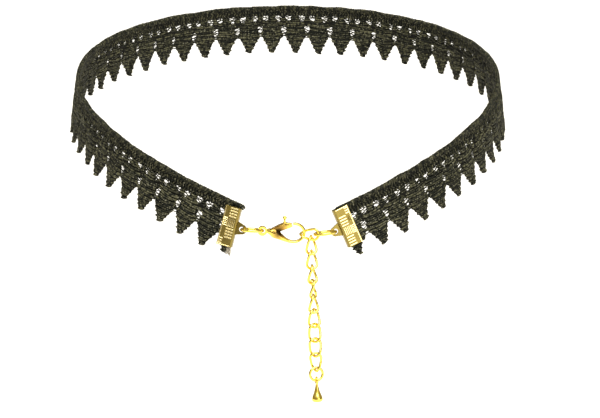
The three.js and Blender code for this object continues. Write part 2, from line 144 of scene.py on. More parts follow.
def set_out(tree, unit, count, first, pitch):
    """Copies a unit along x: a count of them, the first at a place, and each one pitch further on."""
    line = step(tree, "GeometryNodeMeshLine", count, step(tree, "ShaderNodeCombineXYZ", first),
                step(tree, "ShaderNodeCombineXYZ", pitch))
    copies = step(tree, "GeometryNodeInstanceOnPoints", line, None, unit)
    return step(tree, "GeometryNodeRealizeInstances", copies)


def end_with(tree, end, geometry, material):
    """Ends a tree: copies become real meshes and take their material."""
    real = step(tree, "GeometryNodeRealizeInstances", geometry)
    feed(tree, end, step(tree, "GeometryNodeSetMaterial", real, None, material))
    return tree


def add_object(name, data):
    """A new object for a mesh, a lamp or a camera. A mesh has its place in its own points."""
    piece = bpy.data.objects.new(name, data)
    bpy.context.scene.collection.objects.link(piece)
    return piece


def mesh_from(name, points, edges=(), faces=()):
    """A mesh from plain lists of points, edges and faces."""
    mesh = bpy.data.meshes.new(name)
    mesh.from_pydata([tuple(point) for point in points], list(edges), list(faces))
    return mesh


def closed_mesh(name, points, faces, flat=False):
    """A closed mesh with its faces outwards. With flat, triangles in one plane become one face."""
    mesh = mesh_from(name, points, faces=faces)
    shell = bmesh.new()
    shell.from_mesh(mesh)
    bmesh.ops.recalc_face_normals(shell, faces=shell.faces)
    if flat:
        bmesh.ops.dissolve_limit(shell, angle_limit=math.radians(1), verts=shell.verts, edges=shell.edges)
    shell.to_mesh(mesh)
    shell.free()
    return mesh


def kept_mesh(piece):
    """The plain mesh that a piece has once its modifiers have run."""
    return bpy.data.meshes.new_from_object(piece.evaluated_get(bpy.context.evaluated_depsgraph_get()))


def grown(name, host, tree, **values):
    """Runs a tree on the host mesh and returns the result as a plain object."""
    carrier = add_object(name + "_carrier", host)
    modifier = carrier.modifiers.new("grow", "NODES")
    modifier.node_group = tree
    sockets = {item.name: item.identifier for item in tree.interface.items_tree
               if item.in_out == "INPUT"}
    for label, value in values.items():
        modifier[sockets[label]] = value
    mesh = kept_mesh(carrier)
    bpy.data.objects.remove(carrier)
    print(f"{name}: {len(mesh.polygons)} faces")
    return add_object(name, mesh)


# %% [markdown]
# ## The wrapping group
#
# A point of the flat strip is a distance from the cone's tip and an angle round it. Unrolled, both
# come from the flat place by Pythagoras and an arc tangent, and the angle grows by one over the sine
# of the flare when the cone is rolled up again. x is counted from the front of the neck, and to the
# wearer's left it is negative, so that the stitches seen from outside aren't mirrored.
#
# Sewn thread is never quite regular. Before it wraps, the group moves each place a little by a slow
# noise, less near the clamps, which hold the strip flat, and more towards the tips of the teeth,
# which lift and curl. Every piece of lace goes through the same noise, so they stay together.

# %% Build the ease of the cloth
def split(tree, vector):
    """The three parts of a vector."""
    parts = tree.nodes.new("ShaderNodeSeparateXYZ")
    tree.links.new(vector, parts.inputs[0])
    return parts.outputs


patches_per_metre = 170.0
held_from, held_fade = 167.0, 8.0
ease_along, ease_inward = 0.75, 0.62
lift_start, lift_end = (4.0, 0.4), (14.0, 2.6)


def eased(tree, place):
    """A place of the flat strip, moved by the slow unevenness of the cloth."""
    noise = tree.nodes.new("ShaderNodeTexNoise")
    noise.inputs["Scale"].default_value = patches_per_metre
    noise.inputs["Detail"].default_value = 1.0
    tree.links.new(place, noise.inputs["Vector"])
    swing = step(tree, "ShaderNodeVectorMath", noise.outputs["Color"], (0.5, 0.5, 0.5),
                 operation="SUBTRACT")
    x, y, _ = split(tree, place)
    from_clamp = calc(tree, "SUBTRACT", held_from * mm, calc(tree, "ABSOLUTE", x))
    free = step(tree, "ShaderNodeMapRange", from_clamp, 0.0, held_fade * mm, 0.0, 1.0)
    lift = step(tree, "ShaderNodeMapRange", calc(tree, "MULTIPLY", y, -1.0),
                lift_start[0] * mm, lift_end[0] * mm, lift_start[1], lift_end[1])
    inward = calc(tree, "MULTIPLY", calc(tree, "MULTIPLY", free, lift), ease_inward * mm)
    along = calc(tree, "MULTIPLY", free, ease_along * mm)
    reach = step(tree, "ShaderNodeCombineXYZ", along, along, inward)
    shift = step(tree, "ShaderNodeVectorMath", swing, reach, operation="MULTIPLY")
    return step(tree, "ShaderNodeVectorMath", place, shift, operation="ADD")


# %% Build the wrapping group
def wrapping_group():
    tree, given, end = new_tree("wrap round the neck")
    place = eased(tree, step(tree, "GeometryNodeInputPosition"))
    x, y, z = split(tree, place)
    sine, cosine = math.sin(flare), math.cos(flare)
    below = calc(tree, "SUBTRACT", apex * mm, y)
    squares = calc(tree, "ADD", calc(tree, "MULTIPLY", x, x), calc(tree, "MULTIPLY", below, below))
    from_tip = calc(tree, "SQRT", squares)
    turn = calc(tree, "DIVIDE", calc(tree, "ARCTAN2", calc(tree, "MULTIPLY", x, -1.0), below), sine)
    radius = calc(tree, "MULTIPLY_ADD", from_tip, sine, calc(tree, "MULTIPLY", z, cosine))
    drop = calc(tree, "MULTIPLY", calc(tree, "SUBTRACT", from_tip, apex * mm), cosine)
    height = calc(tree, "SUBTRACT", calc(tree, "MULTIPLY_ADD", z, sine, lace_lift * mm), drop)
    wrapped = step(tree, "ShaderNodeCombineXYZ",
                   calc(tree, "MULTIPLY", radius, calc(tree, "SINE", turn)),
                   calc(tree, "MULTIPLY", radius, calc(tree, "COSINE", turn)),
                   height)
    feed(tree, end, step(tree, "GeometryNodeSetPosition", given["Geometry"], None, wrapped))
    return tree


wrap_group = wrapping_group()
print("wrapping group:", len(wrap_group.nodes), "nodes")


def wrap(tree, geometry):
    """A step that sends flat lace through the wrapping group."""
    node = tree.nodes.new("GeometryNodeGroup")
    node.node_tree = wrap_group
    tree.links.new(geometry, node.inputs[0])
    return node.outputs[0]


# %% [markdown]
# ## Thread and metal
#
# Black polyester thread isn't a pure black: it has olive and brown in it, and each stitch takes the light
# differently. Pale specks on it are painted highlights, painted glints of single filaments. The braided
# band is sewn a little darker than the teeth, and the ground under both is darker still. The sewing tree
# gives every stitch a tone, and a place along and round its thread, from which the bump draws two strands
# twisted together. The plated metal is one colour with a little unevenness in its polish, and painted
# shade darkens it in the corner of the clasp where the lever meets the hook. The clamps have an antique
# finish, a dull, brown plate and pale ribs: the brown is partly that finish and partly painted shade,
# and the pale of the ribs is partly that finish and partly a painted highlight.

# %% Material helpers
def new_material(name, base, roughness, metallic=0.0, **sockets):
    material = bpy.data.materials.new(name)
    material.use_nodes = True
    shader = material.node_tree.nodes["Principled BSDF"]
    shader.inputs["Base Color"].default_value = (*base, 1)
    shader.inputs["Roughness"].default_value = roughness
    shader.inputs["Metallic"].default_value = metallic
    for label, value in sockets.items():
        shader.inputs[label.replace("_", " ")].default_value = value
    return material, material.node_tree, shader


def object_noise(tree, scale, detail=3.0):
    """Noise that is fixed to the piece, scale in patches for each metre."""
    coordinates = tree.nodes.new("ShaderNodeTexCoord")
    noise = tree.nodes.new("ShaderNodeTexNoise")
    noise.inputs["Scale"].default_value = scale
    noise.inputs["Detail"].default_value = detail
    tree.links.new(coordinates.outputs["Object"], noise.inputs["Vector"])
    return noise.outputs["Fac"]


def ramp(tree, source, stops):
    """A colour ramp, stops as place and colour."""
    node = tree.nodes.new("ShaderNodeValToRGB")
    elements = node.color_ramp.elements
    while len(elements) < len(stops):
        elements.new(0.5)
    for element, (place, colour) in zip(elements, stops):
        element.position = place
        element.color = (*colour, 1)
    tree.links.new(source, node.inputs[0])
    return node.outputs[0]


def bumped(tree, shader, height, strength, distance):
    """Gives a shader a bump of a real height."""
    bump = tree.nodes.new("ShaderNodeBump")
    bump.inputs["Strength"].default_value = strength
    bump.inputs["Distance"].default_value = distance
    tree.links.new(height, bump.inputs["Height"])
    tree.links.new(bump.outputs[0], shader.inputs["Normal"])


# %% Thread
def mixed(tree, factor, low, high):
    """A blend of two colours, each a plain colour or another node's output."""
    node = tree.nodes.new("ShaderNodeMix")
    node.data_type = "RGBA"
    for label, source in (("Factor", factor), ("A", low), ("B", high)):
        feed(tree, node.inputs[label], (*source, 1) if isinstance(source, tuple) else source)
    return node.outputs["Result"]


def attribute(tree, name, output):
    """A value that the stitches carry: the tone of a stitch, or a place on its thread."""
    node = tree.nodes.new("ShaderNodeAttribute")
    node.attribute_name = name
    return node.outputs[output]


strand_turn = 1.1
unlit, lit = (0, 0, 0), (1, 1, 1)


def ply_height(tree):
    """The height of two strands twisted round each other, from the place along and round a thread."""
    x, y, _ = split(tree, attribute(tree, "side", "Vector"))
    phase = calc(tree, "MULTIPLY", attribute(tree, "along", "Fac"), 2 * math.pi / (strand_turn * mm))
    even = calc(tree, "SUBTRACT", calc(tree, "MULTIPLY", x, x), calc(tree, "MULTIPLY", y, y))
    odd = calc(tree, "MULTIPLY", calc(tree, "MULTIPLY", x, y), 2.0)
    first = calc(tree, "MULTIPLY", even, calc(tree, "COSINE", phase))
    return calc(tree, "MULTIPLY_ADD", odd, calc(tree, "SINE", phase), first)


def thread_material(name, dark, tint, glint_colour):
    """Thread from dark to tint by the tone of each stitch, with patches, pale specks of painted highlight
    and a twist.
    """
    material, tree, shader = new_material(name, dark, 0.6, Specular_IOR_Level=0.14)
    worn = ramp(tree, object_noise(tree, 1400.0, 1.0), [(0.42, unlit), (0.60, lit)])
    patches = mixed(tree, worn, dark, mixed(tree, attribute(tree, "tone", "Fac"), dark, tint))
    # the pale specks are painted highlights, painted glints of single filaments
    glints = ramp(tree, object_noise(tree, 2600.0, 1.0), [(0.62, unlit), (0.70, lit)])
    tree.links.new(mixed(tree, glints, patches, glint_colour), shader.inputs["Base Color"])
    fuzz = calc(tree, "MULTIPLY", object_noise(tree, 6000.0, 2.0), 1.2)
    bumped(tree, shader, calc(tree, "ADD", ply_height(tree), fuzz), 0.7, 0.05 * mm)
    return material


# the last colour of each thread is that of its painted highlights, the pale specks
black_thread = thread_material(
    "black thread", (0.003, 0.004, 0.002), (0.086, 0.084, 0.046), (0.17, 0.165, 0.115))
band_thread = thread_material(
    "band thread", (0.002, 0.003, 0.0015), (0.062, 0.060, 0.032), (0.13, 0.125, 0.085))
ground_thread = thread_material(
    "ground thread", (0.002, 0.002, 0.001), (0.010, 0.009, 0.005), (0.02, 0.02, 0.013))
pale_thread = thread_material(
    "frayed thread", (0.22, 0.20, 0.16), (0.36, 0.33, 0.27), (0.6, 0.56, 0.48))
threads = (black_thread, band_thread, ground_thread, pale_thread)
print("thread materials:", [thread.name for thread in threads])


# %% Metal
def metal_material(name, base, smooth, rough):
    material, tree, shader = new_material(name, base, smooth, 1.0)
    polish = tree.nodes.new("ShaderNodeMapRange")
    polish.inputs["To Min"].default_value = smooth
    polish.inputs["To Max"].default_value = rough
    tree.links.new(object_noise(tree, 500.0), polish.inputs["Value"])
    tree.links.new(polish.outputs[0], shader.inputs["Roughness"])
    return material


def shaded_near(material, place, stops):
    """Darkens a metal near a place with painted shade, stops as distance in millimetres and colour."""
    tree = material.node_tree
    here = tree.nodes.new("ShaderNodeTexCoord").outputs["Object"]
    away = tree.nodes.new("ShaderNodeVectorMath")
    away.operation = "DISTANCE"
    away.inputs[1].default_value = Vector(place) * mm
    tree.links.new(here, away.inputs[0])
    reach = stops[-1][0]
    share = calc(tree, "DIVIDE", away.outputs["Value"], reach * mm)
    colour = ramp(tree, share, [(distance / reach, tint) for distance, tint in stops])
    tree.links.new(colour, tree.nodes["Principled BSDF"].inputs["Base Color"])
    return material


plate_gold, plate_polish = (0.86, 0.66, 0.13), (0.10, 0.22)
hinge_corner = (-3.7, -61.5, -16.4)
bright_gold = metal_material("bright gold plate", plate_gold, *plate_polish)
# painted shade: the clasp body and the lever darken towards the corner where the lever meets the hook
body_gold = shaded_near(
    metal_material("gold plate of the clasp with painted shade", plate_gold, *plate_polish), hinge_corner,
    [(0.8, (0.05, 0.03, 0.01)), (1.5, (0.55, 0.36, 0.08)), (2.2, plate_gold)])
lever_gold = shaded_near(
    metal_material("gold plate of the lever with painted shade", plate_gold, *plate_polish), hinge_corner,
    [(0.7, (0.03, 0.02, 0.005)), (1.5, (0.34, 0.19, 0.04)), (2.8, (0.80, 0.56, 0.12)), (4.3, plate_gold)])
# the plate's dark brown is partly the antique finish and partly painted shade, and the ribs' pale gold is
# partly that finish and partly a painted highlight
clamp_plate = metal_material("antique gold plate with painted shade", (0.24, 0.185, 0.05), 0.24, 0.40)
rib_finish_and_highlight = metal_material("antique gold ribs with painted highlight", (0.95, 0.83, 0.44), 0.18, 0.32)
metals = (bright_gold, body_gold, lever_gold, clamp_plate, rib_finish_and_highlight)
print("metal materials:", [metal.name for metal in metals])


def coated(piece, material):
    """Gives a piece one material in place of any others."""
    piece.data.materials.clear()
    piece.data.materials.append(material)
    return piece


# %% [markdown]
# ## The outline of a tooth
#
# Each cell of the lace runs from one tooth's middle to the next. Two small holes lie under the braided
# band, a larger hole under them, then a thin bridge of thread, and then the open notch between the
# teeth. The same few points of that outline shape the ground and tell each row of stitches how wide
# it is.

# %% Outlines as shares of the pitch and the width
gap_outline = [
    (0.08, 0.43), (0.105, 0.48), (0.095, 0.52), (0.06, 0.56), (0.035, 0.59), (0.03, 0.62), (0.045, 0.65),
    (0.12, 0.715), (0.19, 0.78), (0.25, 0.835), (0.30, 0.885), (0.33, 0.925), (0.36, 0.96), (0.40, 0.984),
    (0.45, 0.998),
]
hole_shift = 0.22
hole_outline = [
    (-0.12, 0.215), (-0.06, 0.208), (0.0, 0.206), (0.06, 0.208), (0.12, 0.215), (0.125, 0.24),
    (0.10, 0.275), (0.05, 0.315), (0.0, 0.34), (-0.05, 0.315), (-0.10, 0.275), (-0.125, 0.24),
]
upper_strut = [
    (0.205, 0.15), (0.25, 0.16), (0.29, 0.20), (0.325, 0.26), (0.34, 0.45), (0.345, 0.5), (0.43, 0.5),
]
middle_strut = [(0.205, 0.10), (0.25, 0.105), (0.29, 0.14), (0.325, 0.19)]


def between(table, place):
    """Straight interpolation in a table of rising places."""
    for (low, first), (high, last) in zip(table, table[1:]):
        if low <= place <= high:
            return first + (last - first) * (place - low) / (high - low)
    return table[0][1] if place < table[0][0] else table[-1][1]


def tooth_half(down):
    """Half the width of a tooth, as a share of the pitch, at a share of the lace's width."""
    if down <= gap_outline[0][1]:
        return between(upper_strut, down)
    return 0.5 - between([(low, across) for across, low in gap_outline], down)


print("tooth is widest at", round(2 * tooth_half(0.62) * tooth_pitch, 2), "mm")

# %% [markdown]
# ## The ground of the lace
#
# The ground is what the needle leaves between the rows: a thin mat of thread with the gaps cut right
# through. One flat cell is drawn, then Geometry Nodes set 51 of them side by side, join them, cut out
# what the two clamps' spines take, give the strip its thickness and wrap it.

# %% One flat cell
ground_inset = 0.12
cell_margin, cell_foot = 0.15, 0.985
hole_middle, hole_across = 0.26, 0.25


def flat_cell():
    half = tooth_pitch / 2
    right = [(min(across * tooth_pitch + ground_inset, half - cell_margin), -down * lace_width)
             for across, down in gap_outline]
    left = [(-x, y) for x, y in reversed(right)]
    bottom = -lace_width * cell_foot
    outline = [(-half, 0.0)] + [(-half + half * k / 3, 0.0) for k in range(1, 6)] + [(half, 0.0)]
    outline += [(half, bottom)] + right[::-1] + left[::-1] + [(-half, bottom)]
    grow = 1 + 2 * ground_inset / (hole_across * tooth_pitch)
    middle = -lace_width * hole_middle
    rings = [outline]
    for side in (-1, 1):
        rings.append([(side * hole_shift * tooth_pitch + grow * across * tooth_pitch,
                       middle + grow * (-down * lace_width - middle)) for across, down in hole_outline])
    rings = [[Vector((x * mm, y * mm, 0)) for x, y in ring] for ring in rings]
    points = [point for ring in rings for point in ring]
    faces = []
    for a, b, c in tessellate_polygon(rings):
        area = (points[b] - points[a]).cross(points[c] - points[a]).z
        faces.append((a, b, c) if area > 0 else (a, c, b))
    return mesh_from("flat_cell", points, faces=faces)


cell = flat_cell()
print("flat cell:", len(cell.polygons), "faces")

# %% [markdown]
# ## Where the clamps bite
#
# Each clamp holds the end of the lace in its fold. In the flat, its spine takes a slanting strip off
# the lace's end, and what lies above or below the clamp sticks out past it. There the lace was cut by
# hand: the end tooth on the left is worn off at its tip, and the one on the right is trimmed on a
# slant. Cutters that touch would confuse the cut, so the four boxes stay apart. The same functions
# tell the rows of stitches where to stop.

# %% Clamp places in the flat
clamp_length = 10.3
clamp_width = 4.0
clamp_reach = 1.4
clamp_places = {
    "left": {"side": -1, "along": -(last_tooth - 1.575), "down": 0.45, "tilt": 8.8, "tail": 0.1},
    "right": {"side": 1, "along": last_tooth + 0.825, "down": 0.385, "tilt": 0.0, "tail": 1.9},
}
room_half, room_reach, room_depth = 5.35, 6.0, 2.0
frayed_tooth = 13.15
worn_from, worn_to, worn_foot = 169.6, 176, -16
trim_top, trim_foot, trim_width = 10.65, 14.4, 1.8
trim_start, trim_slant = 1.1, 0.45


def strip_end(place, down):
    """How far along the strip the lace reaches at a distance down, in millimetres."""
    tilt = math.radians(place["tilt"])
    below = down - place["down"] * lace_width
    free = place["side"] * (last_tooth + place["tail"])
    held = place["along"] + place["side"] * (clamp_reach + below * math.sin(tilt)) / math.cos(tilt)
    if abs(below) > clamp_length / 2 + 0.2:
        return free
    return min(free, held) if place["side"] > 0 else max(free, held)


def cut_edge(height):
    """Where the end tooth below the right clamp was trimmed: a slanting line in the flat."""
    return -last_tooth + trim_start - trim_slant * (-trim_top - height)


def room_corners():
    """The flat corners of what is cut from the strip: two end teeth and the rooms of two clamps."""
    low, high = cut_edge(-trim_foot), cut_edge(-trim_top)
    worn = [(worn_from, worn_foot), (worn_to, worn_foot), (worn_to, -frayed_tooth),
            (worn_from, -frayed_tooth)]
    trimmed = [(low, -trim_foot), (low + trim_width, -trim_foot), (high + trim_width, -trim_top),
               (high, -trim_top)]
    corners = [[Vector(corner) for corner in box] for box in (worn, trimmed)]
    for place in clamp_places.values():
        side, tilt = place["side"], math.radians(place["tilt"])
        along = Vector((-side * math.cos(tilt), math.sin(tilt) if side < 0 else -math.sin(tilt)))
        up = Vector((-along.y, along.x))
        middle = Vector((-place["along"], -place["down"] * lace_width))
        corners.append([middle + along * reach + up * height for reach, height in (
            (clamp_reach, -room_half), (room_reach, -room_half), (room_reach, room_half),
            (clamp_reach, room_half))])
    return corners


def clamp_rooms():
    """Flat boxes round all that is cut from the strip."""
    points, faces = [], []
    for ring in room_corners():
        start = len(points)
        points += [(flat.x * mm, flat.y * mm, out * mm) for out in (-room_depth, room_depth)
                   for flat in ring]
        a, b, c, d, e, f, g, h = range(start, start + 8)
        faces += [(a, d, c, b), (e, f, g, h), (a, b, f, e), (b, c, g, f), (c, d, h, g), (d, a, e, h)]
    return add_object("clamp_rooms", closed_mesh("clamp_rooms", points, faces))


rooms = clamp_rooms()
for name, place in clamp_places.items():
    print(name, "end of the lace at half width:", round(strip_end(place, lace_width / 2), 2), "mm")


# %% Grow the ground
weld = 0.002


def ground_tree():
    tree, given, end = new_tree("lace ground", Cells="Int", Pitch="Float", Thickness="Float",
                                Tails="Object", Rooms="Object", Material="Material")
    first = calc(tree, "MULTIPLY", calc(tree, "SUBTRACT", given["Cells"], 1.0),
                 calc(tree, "MULTIPLY", given["Pitch"], -0.5))
    cells = set_out(tree, given["Geometry"], given["Cells"], first, given["Pitch"])
    whole = step(tree, "GeometryNodeJoinGeometry", [cells, shape_of(tree, given["Tails"])])
    whole = step(tree, "GeometryNodeMergeByDistance", whole, None, weld * mm)
    back = step(tree, "GeometryNodeFlipFaces", whole)
    up = step(tree, "ShaderNodeCombineXYZ", 0.0, 0.0, given["Thickness"])
    front = step(tree, "GeometryNodeExtrudeMesh", whole, None, up, 1.0, False)
    solid = step(tree, "GeometryNodeJoinGeometry", [front, back])
    solid = step(tree, "GeometryNodeMergeByDistance", solid, None, weld * mm)
    down = step(tree, "ShaderNodeCombineXYZ", 0.0, 0.0, calc(tree, "MULTIPLY", given["Thickness"], -0.5))
    solid = step(tree, "GeometryNodeSetPosition", solid, None, None, down)
    cut = tree.nodes.new("GeometryNodeMeshBoolean")
    cut.operation = "DIFFERENCE"
    tree.links.new(solid, cut.inputs["Mesh 1"])
    tree.links.new(shape_of(tree, given["Rooms"]), cut.inputs["Mesh 2"])
    return end_with(tree, end, wrap(tree, cut.outputs["Mesh"]), given["Material"])


tail_rows = [0.0, 0.2, 0.34, 0.42, 0.44, 0.6, 0.76, 0.87, 0.94, 0.975]
tail_least = 0.05


def flat_tails():
    """The ends of the strip beyond the last teeth, as flat strips."""
    points, faces = [], []
    for place in clamp_places.values():
        inner = -place["side"] * last_tooth
        outer = -place["side"] * (last_tooth + place["tail"])
        start = len(points)
        for down in tail_rows:
            half = min(tooth_half(max(down, gap_outline[0][1])) * tooth_pitch - ground_inset, place["tail"])
            reach = inner + (outer - inner) * max(half, tail_least) / place["tail"]
            points += [(inner * mm, -down * lace_width * mm, 0), (reach * mm, -down * lace_width * mm, 0)]
        for row in range(start, start + 2 * len(tail_rows) - 2, 2):
            ring = (row, row + 2, row + 3, row + 1)
            faces.append(ring if place["side"] < 0 else ring[::-1])
    return add_object("flat_tails", mesh_from("flat_tails", points, faces=faces))


tails = flat_tails()
ground_thickness = 0.4
lace_ground = grown("lace_band", cell, ground_tree(), Cells=tooth_count - 1, Pitch=tooth_pitch * mm,
                    Thickness=ground_thickness * mm, Tails=tails, Rooms=rooms, Material=ground_thread)

# %% [markdown]
# ## Rows of stitches
#
# A tooth is filled with satin stitch: each thread crosses the tooth, turns round its edge and comes
# back behind it. So one stitch is a flat closed ring of thread. Its front bulges over the padding,
# and its middle hangs a little lower than its ends. The rows of one tooth are drawn once, and the
# tree repeats them along the strip, shifts each ring by a small random amount, sweeps a round thread
# along it and wraps everything.

# %% Draw the rows of one tooth
thread_radius = 0.25
row_pitch = 0.56
padding = 0.30
droop = 0.22
ring_stops = (-1.0, -0.82, 0.0, 0.82, 1.0, 0.82, 0.0, -0.82)
ring_sides = (0, 1, 1.12, 1, 0, -1, -1.12, -1)
edge_turn = 0.6 * thread_radius
first_row, last_row = 0.215, 0.982
strut_foot, bridge_rows, bridge_half = 0.325, (0.595, 0.632), 0.75


def ring(low, high, place, lean=0.0, bulge=padding, sag=droop, upright=False):
    """A closed ring of thread from low to high at a place across it, in millimetres."""
    points, middle, half = [], (low + high) / 2, (high - low) / 2
    for stop, side in zip(ring_stops, ring_sides):
        drop = sag * min(half / 2.0, 1.3) * (1 - stop * stop)
        flat = ((middle + half * stop) * mm, (place - drop + lean * stop) * mm)
        points.append((*(flat[::-1] if upright else flat), side * bulge * mm))
    return points


def rows_mesh(name, rings):
    """A mesh of closed rings."""
    count = len(ring_stops)
    edges = [(start + k, start + (k + 1) % count)
             for start in range(0, count * len(rings), count) for k in range(count)]
    return mesh_from(name, [point for points in rings for point in points], edges)


def row_places():
    """Shares of the lace's width at which a row of satin stitch lies."""
    count = round((last_row - first_row) * lace_width / row_pitch)
    return [first_row + (last_row - first_row) * k / count for k in range(count + 1)]


def row_half(row, down):
    """Half the length of a row. Every other row turns further out, which makes the edge jagged."""
    return tooth_half(down) * tooth_pitch - edge_turn + (0.05 if row % 2 else -0.03)


def row_lean(row):
    """Half the rise of a row. The needle goes to and fro, so one row rises and the next one falls."""
    return 0.13 if row % 2 else -0.13


def tooth_rows():
    return [ring(-row_half(row, down), row_half(row, down), -down * lace_width, row_lean(row))
            for row, down in enumerate(row_places())]


def gap_rows():
    """What lies between two teeth: the middle strut and the bridge over the notch."""
    rings = []
    for down in row_places():
        if down < strut_foot:
            half = between(middle_strut, down) * tooth_pitch - edge_turn
            rings.append(ring(-half, half, -down * lace_width))
    for down in bridge_rows:
        rings.append(ring(-bridge_half, bridge_half, -down * lace_width, bulge=0.16, sag=0.1))
    return rings


def end_rows():
    """The rows of the two end teeth, each cut off at its clamp or at the end of the strip."""
    rings = []
    for place in clamp_places.values():
        left, tooth = place["side"] < 0, -place["side"] * last_tooth
        for row, down in enumerate(row_places()):
            half, deep = row_half(row, down), down * lace_width
            stop = -strip_end(place, deep)
            low, high = tooth - half, tooth + half
            low, high = (low, min(high, stop)) if left else (max(low, stop), high)
            if not left and deep > trim_top:
                high = min(high, cut_edge(-deep))
            worn = left and deep > frayed_tooth
            if high - low > 3 * thread_radius and not worn:
                rings.append(ring(low, high, -deep, row_lean(row)))
    return rings


one_tooth = add_object("tooth_rows", rows_mesh("tooth_rows", tooth_rows()))
one_gap = add_object("gap_rows", rows_mesh("gap_rows", gap_rows()))
print("rows of stitches on a tooth:", len(one_tooth.data.edges) // len(ring_stops))


# %% Build the sewing tree
def kept_value(tree, geometry, name, value, kind="FLOAT"):
    """Keeps a value on the points under a name that materials can read."""
    return step(tree, "GeometryNodeStoreNamedAttribute", geometry, None, name, value, data_type=kind,
                domain="POINT")


def sewing_tree():
    tree, given, end = new_tree("sewing", Unit="Object", Repeats="Int", First="Float", Pitch="Float",
                                Thread="Float", Sides="Int", Finer="Int", Loose="Vector", Seed="Int",
                                Material="Material")
    rows = set_out(tree, shape_of(tree, given["Unit"]), given["Repeats"], given["First"], given["Pitch"])
    rows = step(tree, "GeometryNodeJoinGeometry", [rows, given["Geometry"]])
    thread = step(tree, "GeometryNodeMeshToCurve", rows)
    thread = step(tree, "GeometryNodeCurveSplineType", thread, spline_type="CATMULL_ROM")
    thread = step(tree, "GeometryNodeSetSplineResolution", thread, None, given["Finer"])
    number = step(tree, "GeometryNodeFieldOnDomain", step(tree, "GeometryNodeInputIndex"),
                  data_type="INT", domain="CURVE")
    shift = step(tree, "FunctionNodeRandomValue", (-1.0, -1.0, -1.0), (1.0, 1.0, 1.0), number,
                 given["Seed"], data_type="FLOAT_VECTOR")
    shift = step(tree, "ShaderNodeVectorMath", shift, given["Loose"], operation="MULTIPLY")
    thread = step(tree, "GeometryNodeSetPosition", thread, None, None, shift)
    round_thread = step(tree, "GeometryNodeCurvePrimitiveCircle", given["Sides"], given["Thread"])
    tone = step(tree, "FunctionNodeRandomValue", 0.0, 1.0, number, given["Seed"], data_type="FLOAT")
    along = tree.nodes.new("GeometryNodeSplineParameter").outputs["Length"]
    thread = kept_value(tree, kept_value(tree, thread, "tone", tone), "along", along)
    side = step(tree, "ShaderNodeVectorMath", step(tree, "GeometryNodeInputPosition"),
                operation="NORMALIZE")
    round_thread = kept_value(tree, round_thread, "side", side, "FLOAT_VECTOR")
    tube = step(tree, "GeometryNodeCurveToMesh", thread, round_thread, 1.0, True)
    laid = step(tree, "GeometryNodeSetShadeSmooth", wrap(tree, tube))
    return end_with(tree, end, laid, given["Material"])


sewing = sewing_tree()


def sewn(name, single, unit, seed, thread, loose, sides=5, finer=2, repeats=0, first=0.0,
         pitch=tooth_pitch, material=black_thread):
    """Sews the rows of a unit along the strip, and single rows where they lie, in millimetres."""
    return grown(name, single, sewing, Unit=unit, Repeats=repeats, First=first * mm, Pitch=pitch * mm,
                 Thread=thread * mm, Sides=sides, Finer=finer, Loose=Vector(loose) * mm, Seed=seed,
                 Material=material)


loose = (0.17, 0.07, 0.06)
first_gap = -(last_tooth - tooth_pitch / 2)
tooth_stitches = sewn("tooth_stitches", rows_mesh("end_rows", end_rows()), one_tooth, 3, thread_radius,
                      loose, repeats=tooth_count - 2, first=-(last_tooth - tooth_pitch))
gap_stitches = sewn("gap_stitches", mesh_from("no_rows", []), one_gap, 5, 0.85 * thread_radius,
                    loose, repeats=tooth_count - 1, first=first_gap)

# %% [markdown]
# ## Loose threads
#
# Machine lace is never clean in its holes: single threads that the needle carried from one row to the
# next cross them. They are much thinner than a stitch and lie at random. Where the strip was cut to
# length its threads fray, above and below the left clamp, and there they are pale inside.

# %% Threads in the holes
carried_half, carried_bulge, carried_sag, carried_radius = 1.1, 0.14, 0.1, 0.095
hole_threads = ((-3.15, 0.2), (-3.45, -0.5), (-3.75, 0.45), (-4.1, -0.3), (-4.45, 0.5))
gap_threads = ((-6.2, 0.3), (-6.55, -0.5), (-6.95, 0.4), (-7.3, -0.2), (-7.7, 0.5), (-9.2, 0.2))


def carried(middle, height, lean):
    """A single thread that was carried over a hole."""
    return ring(middle - carried_half, middle + carried_half, height, lean, carried_bulge, carried_sag)


def loose_rows():
    rings = [carried(side * hole_shift * tooth_pitch, height, side * lean)
             for side in (-1, 1) for height, lean in hole_threads]
    return rings + [carried(0.0, height, lean) for height, lean in gap_threads]


one_loose = add_object("loose_rows", rows_mesh("loose_rows", loose_rows()))
loose_threads = sewn("loose_threads", mesh_from("no_loose_rows", []), one_loose, 11, carried_radius,
                     (0.2, 0.3, 0.1), 4, 1, tooth_count - 1, first_gap)

# %% Frayed ends at the left clamp
def frayed_ends(threads):
    """Open threads, each a list of flat places in millimetres."""
    points, edges = [], []
    for thread in threads:
        start = len(points)
        points += [(x * mm, y * mm, z * mm) for x, y, z in thread]
        edges += [(start + k, start + k + 1) for k in range(len(thread) - 1)]
    return mesh_from("frayed_ends", points, edges)


under_clamp = [
    [(171.9 + 0.2 * k, -11.2, 0.12 * (k % 3)), (172.0 + 0.24 * k, -12.1, 0.3 - 0.1 * (k % 2)),
     (172.0 + 0.26 * k + 0.3 * (k % 2), -12.9 - 0.2 * (k % 3), 0.25 * (k % 2))] for k in range(6)]
over_clamp = [
    [(171.0, height, 0.1), (171.6, height + 0.05, 0.2), (172.1, height - 0.05 * turn, 0.3),
     (172.45 - 0.15 * turn, height - 0.2 * turn, 0.2)]
    for height, turn in ((-0.15, 1), (-0.5, 0), (-0.8, 1))]
pale_ends = sewn("pale_ends", frayed_ends(under_clamp), one_loose, 13, 0.19, (0.1, 0.1, 0.05), 6, 4,
                 material=pale_thread)
dark_ends = sewn("dark_ends", frayed_ends(over_clamp), one_loose, 17, 0.22, (0.1, 0.05, 0.05), 6, 4)

# %% [markdown]
# ## The braided band
#
# Above the holes runs a band of rows that lean to and fro, like a flat braid, and its top edge is
# overcast: each thread goes over the edge, which gives it small bumps. One group of five rings is
# repeated 411 times by the same tree, and the overcast edge runs on a little above the left clamp.

